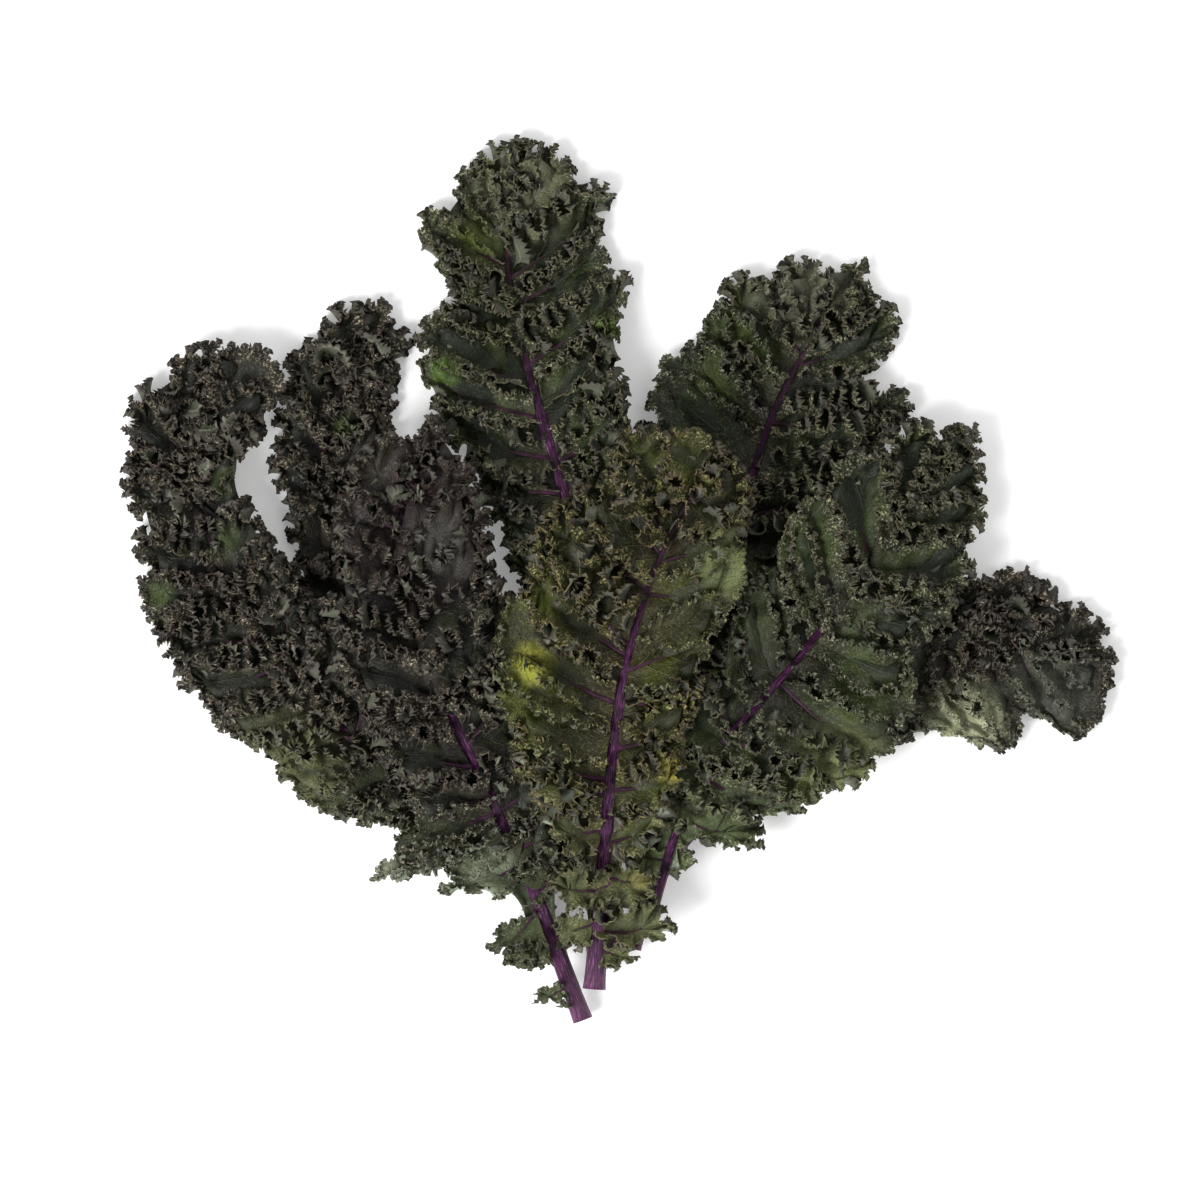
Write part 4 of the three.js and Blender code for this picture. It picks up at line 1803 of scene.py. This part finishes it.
@dataclass
class StemPiece:
    """The petiole, midrib and raised side veins of one leaf.

    Args:
        leaf: The leaf.
        settling: How high it lies.
        blade: Its blade.
        sides: Number of sides of the petiole and midrib.
        step: Length of one step along them, in millimetres.
        vein_sides: Number of sides of a side vein.
        vein_steps: Number of steps along a side vein.
        least_reach: Length of the shortest lobe with a raised vein, in millimetres.
        spacing: How far apart the tubes stand before they are bent, in their own radii.
    """

    leaf: Leaf
    settling: Settling
    blade: BladePiece
    sides: int = 24
    step: float = 3.2
    vein_sides: int = 6
    vein_steps: int = 12
    least_reach: float = 14
    spacing: float = 10

    def tube(self, bm: bmesh.types.BMesh, sides: int, steps: int, tag: int) -> None:
        """Adds an upright tube of unit radius and unit steps, closed at both ends.

        Args:
            bm: Where to add it.
            sides: Number of its sides.
            steps: Number of steps along it.
            tag: Number of the tube, which stands this many spacings to the side.
        """
        made = bmesh.ops.create_circle(bm, cap_ends=False, segments=sides, radius=1)["verts"]
        bmesh.ops.translate(bm, verts=made, vec=(self.spacing * tag, 0, 0))
        ends = list(dict.fromkeys(edge for vertex in made for edge in vertex.link_edges))
        ring = ends
        for _ in range(steps):
            ring = extrude(bm, ring, (0, 0, 1))
        bmesh.ops.holes_fill(bm, edges=[*ends, *ring], sides=0)

    def midrib(self, share: np.ndarray, turn: np.ndarray) -> np.ndarray:
        """Points on the skin of petiole and midrib.

        Args:
            share: Shares of the length.
            turn: Angles round it from its top.

        Returns:
            The points in millimetres.
        """
        point, _, left = self.leaf.midrib.at(share)
        radius = self.leaf.midrib.radius_at(share)
        own = float(self.leaf.seed)
        groove = 1 - 0.16 * np.exp(-((turn / 0.5) ** 2))
        ridges = 1 + 0.05 * np.sin(9 * turn + 1.5 * wander(share * 7, own))
        ridges = ridges + 0.03 * wander(share * 25, own + 4)
        size = radius * groove * ridges
        xy = point - left * (size * np.sin(turn))[:, None]
        z = self.settling.spine_height(share) + size * 0.86 * np.cos(turn)
        return np.column_stack([xy, np.maximum(z, 0.15)])

    def side_vein(self, lobe: Lobe, share: np.ndarray, turn: np.ndarray) -> np.ndarray:
        """Points on the skin of a lobe's raised vein.

        Args:
            lobe: The lobe.
            share: Shares of the vein's length.
            turn: Angles round it.

        Returns:
            The points in millimetres.
        """
        even = np.linspace(0, 1, 40)
        line = lobe.vein(even, self.settling)
        middle, later, sooner = (
            np.stack([np.interp(share + off, even, line[:, k]) for k in range(3)], -1)
            for off in (0, 0.02, -0.02)
        )
        ahead = unit(later - sooner)
        side = unit(np.cross(ahead, (0.0, 0.0, 1.0)))
        up = np.cross(side, ahead)
        thick = 0.36 * float(self.leaf.midrib.radius_at(np.array(lobe.at_share))) + 0.25
        radius = (thick * (1 - 0.78 * share**0.7) * min(1.0, lobe.reach / 30))[:, None]
        across = np.sin(turn)[:, None] * side + (0.75 * np.cos(turn))[:, None] * up
        return middle + radius * across

    def build(self, finishes: dict[str, bpy.types.Material]) -> bpy.types.Object:
        """Makes the stem's object.

        Args:
            finishes: Materials by name.

        Returns:
            The finished piece.
        """
        leaf = self.leaf
        steps = round(leaf.midrib.length / self.step)
        lobes = [lobe for lobe in self.blade.lobes if lobe.reach > self.least_reach]
        bm = bmesh.new()
        self.tube(bm, self.sides, steps, 0)
        for number in range(len(lobes)):
            self.tube(bm, self.vein_sides, self.vein_steps, number + 1)
        bmesh.ops.recalc_face_normals(bm, faces=bm.faces)
        name = f"{leaf.name}_rib"
        mesh = finish_mesh(bm, name)
        flat = read_points(mesh)
        tag = np.rint(flat[:, 0] / self.spacing).astype(int)
        turn = np.arctan2(flat[:, 0] - self.spacing * tag, flat[:, 1])
        share = flat[:, 2] / np.where(tag == 0, steps, self.vein_steps)
        share = np.where(tag == 0, leaf.trim + (1 - leaf.trim) * share, share)
        points = np.zeros_like(flat)
        along = share * leaf.midrib.length
        faded = 0.6 * ramp(share, 0.7, 1.0)
        points[tag == 0] = self.midrib(share[tag == 0], turn[tag == 0])
        for number, lobe in enumerate(lobes, start=1):
            own = tag == number
            points[own] = self.side_vein(lobe, share[own], turn[own])
            along[own] = share[own] * lobe.reach + 100 * number
            faded[own] = 0.15 + 0.85 * ramp(share[own], 0.1, 0.9) + 0.3 * lobe.at_share
        values = {"around": turn / np.pi, "along": along, "faded": np.clip(faded, 0, 1)}
        shape_mesh(mesh, points, values)
        piece = show(name, mesh, finishes["stem_purple"], finishes["cut_face"])
        for face in mesh.polygons:
            if len(face.vertices) == self.sides:
                face.material_index = 1
                face.use_smooth = False
        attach(piece, "root")
        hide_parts(f"{leaf.name}_stem")
        LOG.info("%s: %d faces", piece.name, len(mesh.polygons))
        return piece


# ---- The bunch ----------------------------------------------------------------------------------


LEAVES: tuple[tuple[Leaf, Skin], ...] = (
    (
        Leaf(
            name="far_right",
            calm=((0.5, 0.7, Side.LEFT), (0.45, 1.0, Side.RIGHT)),
            seed=8,
            radius=(3.2, 0.7),
            spine=[
                (13, -146), (26, -122), (52, -97), (88, -72), (128, -52), (166, -37),
                (193, -34),
            ],
            left=[
                (0.3, 85, 8), (0.42, 72, 30), (0.6, 62, 40), (0.78, 60, 44), (0.92, 46, 40),
                (1, 0, 27),
            ],
            right=[
                (0.3, 85, 8), (0.42, 72, 18), (0.6, 72, 24), (0.7, 84, 26), (0.745, 84, 37),
                (0.775, 82, 47), (0.81, 80, 42), (0.86, 76, 29), (0.94, 68, 49), (0.98, 46, 35),
                (1, 0, 27),
            ],
        ),
        Skin.PURPLE,
    ),
    (
        Leaf(
            name="upper_right",
            trim=0.03,
            taper=2.2,
            bare=((0.0, 0.5), (0.7, 1.0)),
            calm=((0.76, 0.86, Side.LEFT), (0.84, 0.9, Side.RIGHT)),
            seed=6,
            radius=(3.8, 1.2),
            spine=[
                (4, -175), (14, -136), (27, -86), (39, -37), (52, 17), (66, 65), (76, 88),
                (86, 107), (93, 119),
            ],
            left=[
                (0.4, 90, 8), (0.5, 76, 38), (0.64, 74, 58), (0.7, 76, 66), (0.78, 80, 60),
                (0.82, 82, 46), (0.87, 80, 52), (0.92, 74, 50), (0.955, 62, 38), (0.98, 36, 30),
                (1, 0, 28),
            ],
            right=[
                (0.4, 90, 8), (0.5, 74, 32), (0.64, 70, 50), (0.76, 70, 63), (0.82, 70, 57),
                (0.86, 66, 49), (0.91, 58, 42), (0.95, 44, 42), (0.975, 26, 34), (0.99, 12, 35),
                (1, 0, 34),
            ],
        ),
        Skin.GREEN,
    ),
    (
        Leaf(
            name="left_middle",
            seed=2,
            radius=(3.3, 0.7),
            spine=[
                (-24, -167), (-51, -122), (-80, -75), (-105, -28), (-122, 17), (-130, 53),
                (-124, 83), (-115, 103),
            ],
            left=[
                (0.36, 90, 6), (0.5, 74, 26), (0.64, 68, 32), (0.78, 62, 32), (0.9, 55, 36),
                (0.97, 38, 28), (1, 0, 23),
            ],
            right=[
                (0.36, 90, 6), (0.5, 74, 28), (0.64, 68, 36), (0.78, 62, 38), (0.9, 52, 31),
                (0.97, 34, 32), (1, 0, 23),
            ],
        ),
        Skin.PURPLE,
    ),
    (
        Leaf(
            name="top_centre",
            trim=0.035,
            taper=3.2,
            bare=((0.0, 0.79), (0.86, 0.93)),
            seed=4,
            radius=(3.8, 0.9),
            spine=[
                (-3, -178), (-6, -136), (-8, -82), (-14, -23), (-22, 29), (-33, 67), (-43, 105),
                (-50, 143), (-47, 172),
            ],
            left=[
                (0.36, 90, 8), (0.48, 74, 30), (0.58, 68, 42), (0.68, 66, 56), (0.74, 66, 64),
                (0.79, 64, 52), (0.84, 62, 33), (0.89, 60, 49), (0.925, 54, 43), (0.95, 46, 38),
                (0.97, 36, 34), (0.985, 20, 30), (1, 0, 29),
            ],
            right=[
                (0.36, 90, 8), (0.48, 78, 30), (0.58, 76, 38), (0.68, 76, 46), (0.74, 76, 52),
                (0.79, 76, 59), (0.84, 74, 50), (0.88, 72, 53), (0.91, 68, 58), (0.945, 60, 49),
                (0.975, 38, 38), (1, 0, 27),
            ],
        ),
        Skin.GREEN,
    ),
    (
        Leaf(
            name="far_left",
            bare=((0.0, 0.2),),
            seed=1,
            radius=(3.3, 0.7),
            spine=[
                (-30, -150), (-62, -120), (-98, -90), (-130, -61), (-158, -25), (-182, 15),
                (-193, 49), (-189, 78),
            ],
            left=[
                (0.1, 90, 6), (0.17, 98, 17), (0.21, 102, 31), (0.25, 98, 20), (0.3, 88, 29),
                (0.38, 80, 40), (0.47, 74, 46), (0.54, 73, 50), (0.6, 72, 55), (0.67, 70, 45),
                (0.74, 66, 38), (0.79, 64, 35), (0.86, 60, 34), (0.93, 46, 36), (0.97, 30, 31),
                (1, 0, 29),
            ],
            right=[
                (0.2, 90, 6), (0.32, 76, 30), (0.46, 70, 38), (0.6, 64, 38), (0.74, 62, 33),
                (0.84, 74, 31), (0.92, 66, 50), (0.97, 46, 45), (1, 0, 29),
            ],
        ),
        Skin.PURPLE,
    ),
    (
        Leaf(
            name="right_middle",
            trim=0.03,
            taper=2.0,
            bare=((0.0, 0.05), (0.09, 0.16), (0.4, 0.68)),
            calm=((0.5, 0.6, Side.LEFT), (0.45, 0.68, Side.RIGHT)),
            seed=7,
            radius=(2.8, 0.8),
            spine=[
                (11, -163), (21, -127), (33, -96), (49, -70), (66, -52), (91, -22), (113, 7),
                (132, 34), (142, 47),
            ],
            left=[
                (0.05, 90, 2), (0.09, 88, 12), (0.14, 84, 18), (0.2, 80, 17), (0.27, 76, 24),
                (0.34, 72, 28), (0.5, 68, 44), (0.66, 66, 54), (0.8, 62, 52), (0.88, 54, 42),
                (0.93, 44, 37), (0.97, 24, 29), (1, 0, 30),
            ],
            right=[
                (0.13, 90, 6), (0.2, 110, 17), (0.24, 106, 35), (0.28, 100, 31), (0.33, 94, 47),
                (0.4, 92, 52), (0.47, 90, 56), (0.54, 88, 69), (0.62, 84, 56), (0.7, 80, 42),
                (0.78, 80, 40), (0.84, 80, 42), (0.89, 78, 34), (0.94, 66, 31), (0.975, 40, 28),
                (1, 0, 30),
            ],
        ),
        Skin.GREEN,
    ),
    (
        Leaf(
            name="purple_crest",
            bare=((0.0, 0.22), (0.31, 0.41), (0.45, 0.62)),
            calm=((0.25, 0.4, Side.LEFT),),
            seed=3,
            radius=(4.0, 0.8),
            spine=[
                (-16, -198), (-36, -144), (-52, -108), (-70, -70), (-85, -34), (-95, -1),
                (-97, 26), (-89, 49),
            ],
            left=[
                (0.03, 92, 2), (0.045, 100, 8), (0.06, 98, 15), (0.075, 90, 7), (0.095, 92, 4),
                (0.125, 101, 20), (0.15, 100, 20), (0.178, 106, 26), (0.21, 100, 17),
                (0.23, 98, 15), (0.26, 99, 20), (0.29, 100, 36), (0.315, 98, 31),
                (0.345, 98, 38), (0.365, 104, 62), (0.39, 92, 38), (0.43, 80, 38),
                (0.5, 74, 42), (0.62, 70, 44), (0.76, 64, 40), (0.9, 54, 34), (1, 0, 24),
            ],
            right=[
                (0.08, 90, 2), (0.12, 88, 10), (0.15, 84, 13), (0.175, 80, 9), (0.22, 76, 21),
                (0.27, 80, 25), (0.33, 86, 28), (0.45, 76, 34), (0.6, 72, 47), (0.74, 68, 53),
                (0.86, 60, 48), (0.95, 42, 35), (1, 0, 24),
            ],
        ),
        Skin.PURPLE,
    ),
    (
        Leaf(
            name="centre_olive",
            bare=((0.0, 0.12), (0.26, 1.0)),
            calm=((0.46, 0.56, Side.LEFT), (0.62, 0.8, Side.RIGHT)),
            seed=5,
            radius=(4.6, 0.9),
            spine=[
                (-11, -183), (-8, -145), (-6, -118), (-3, -82), (1, -50), (7, -23), (16, 4),
                (28, 29), (34, 40),
            ],
            left=[
                (0.05, 90, 2), (0.08, 98, 13), (0.11, 96, 17), (0.135, 92, 13), (0.18, 86, 24),
                (0.24, 84, 19), (0.32, 88, 34), (0.42, 84, 51), (0.54, 76, 60), (0.68, 70, 62),
                (0.8, 62, 54), (0.91, 50, 48), (1, 0, 24),
            ],
            right=[
                (0.03, 90, 1.6), (0.047, 100, 9), (0.07, 104, 15), (0.09, 106, 13),
                (0.12, 106, 31), (0.145, 98, 28), (0.18, 80, 25), (0.24, 80, 14), (0.3, 84, 26),
                (0.36, 82, 33), (0.44, 78, 36), (0.56, 72, 42), (0.7, 68, 46), (0.82, 62, 44),
                (0.92, 50, 40), (1, 0, 24),
            ],
        ),
        Skin.OLIVE,
    ),
)


@dataclass
class Bunch:
    """The eight leaves, from the bottom of the pile to its top.

    Args:
        leaves: The leaves and their colourings.
    """

    leaves: tuple[tuple[Leaf, Skin], ...] = LEAVES

    def build(self, finishes: dict[str, bpy.types.Material]) -> None:
        """Builds every leaf.

        Args:
            finishes: Materials by name.
        """
        outlines = [leaf.outline() for leaf, _ in self.leaves]
        for number, (leaf, skin) in enumerate(self.leaves):
            settling = Settling(leaf)
            blade = BladePiece(leaf, settling, skin, outlines[number + 1 :])
            blade.build(finishes)
            StemPiece(leaf, settling, blade).build(finishes)


# ---- The studio ---------------------------------------------------------------------------------


@dataclass
class Studio:
    """A white table under soft light, with the camera straight above the bunch.

    Args:
        table: Half the width of the table, in metres.
        table_finish: The table's surface.
        sensor: Width of the camera's sensor, in millimetres.
        view_width: Width of what the camera sees on the table, in metres.
        camera_height: Height of the camera, in metres.
        middle: Where on the table it looks, in metres.
        room: Heights of the sky where the ceiling starts and ends, and how bright each is.
        lamps: Name, place and width in metres, and power in watts of each lamp.
    """

    table: float = 20.0
    table_finish: TableFinish = TableFinish(tone=0.9, glow=0.2)
    sensor: float = 36.0
    view_width: float = 0.54
    camera_height: float = 2.4
    middle: Point = (-0.0083, -0.0097)
    room: tuple[float, float, float, float] = (0.7, 0.97, 0.95, 0.3)
    lamps: tuple[tuple[str, tuple[float, float, float], float, float], ...] = (
        ("key", (-1.1, -0.8, 1.7), 0.8, 41),
        ("fill", (1.0, 1.1, 1.8), 1.6, 6),
    )

    def build(self) -> None:
        """Builds floor, lights and camera."""
        self._floor()
        self._room()
        self._lights()
        self._camera()

    def _floor(self) -> None:
        """Lays the table top."""
        bm = bmesh.new()
        bmesh.ops.create_grid(bm, x_segments=8, y_segments=8, size=self.table)
        floor = show("table", finish_mesh(bm, "table"), self.table_finish.material())

    def _room(self) -> None:
        """Makes a white room with a darker ceiling round the table."""
        world = bpy.data.worlds.new("studio")
        world.use_nodes = True
        tree = world.node_tree
        background = tree.nodes["Background"]
        background.inputs["Color"].default_value = (1, 1, 1, 1)
        place, split, dim = (
            tree.nodes.new(kind)
            for kind in ("ShaderNodeTexCoord", "ShaderNodeSeparateXYZ", "ShaderNodeMapRange")
        )
        for number, value in enumerate(self.room, start=1):
            dim.inputs[number].default_value = value
        tree.links.new(place.outputs["Generated"], split.inputs[0])
        tree.links.new(split.outputs["Z"], dim.inputs[0])
        tree.links.new(dim.outputs[0], background.inputs["Strength"])
        bpy.context.scene.world = world
        bpy.context.scene.view_settings.view_transform = "Standard"

    def _lights(self) -> None:
        """Hangs soft lamps over the table."""
        for name, place, size, power in self.lamps:
            light = bpy.data.lights.new(name, "AREA")
            light.size = size
            light.energy = power
            lamp = bpy.data.objects.new(name, light)
            lamp.location = place
            lamp.rotation_euler = (-Vector(place)).to_track_quat("-Z", "Y").to_euler()
            bpy.context.scene.collection.objects.link(lamp)

    def _camera(self) -> None:
        """Hangs the camera over the bunch, looking straight down."""
        data = bpy.data.cameras.new("camera")
        data.sensor_width = self.sensor
        data.lens = self.sensor * self.camera_height / self.view_width
        camera = bpy.data.objects.new("camera", data)
        camera.location = (*self.middle, self.camera_height)
        bpy.context.scene.collection.objects.link(camera)
        bpy.context.scene.camera = camera


def make_finishes() -> dict[str, bpy.types.Material]:
    """Makes the materials of the bunch.

    Returns:
        Materials by slot or name.
    """
    made = {skin.value.slot: skin.value.material() for skin in Skin}
    made["underside"] = UndersideFinish(
        "underside",
        pale=srgb(88, 94, 76),
        flush=srgb(74, 70, 62),
        vein=srgb(122, 122, 106),
        base_tint=srgb(142, 152, 132),
    ).material()
    made["stem_purple"] = StemFinish(
        "stem_purple",
        dark=srgb(27, 4, 25),
        bright=srgb(76, 15, 70),
        streak=srgb(152, 92, 142),
        faded=srgb(72, 54, 58),
        dusty=srgb(112, 74, 102),
    ).material()
    made["cut_face"] = CutFinish(
        "cut_face", pith=srgb(196, 200, 172), skin=srgb(150, 126, 140)
    ).material()
    return made


def main() -> None:
    """Builds the bunch and the studio."""
    logging.basicConfig(level=logging.INFO, format="%(name)s %(message)s")
    Bunch().build(make_finishes())
    Studio().build()
    bpy.context.view_layer.update()


if __name__ == "__main__":
    main()
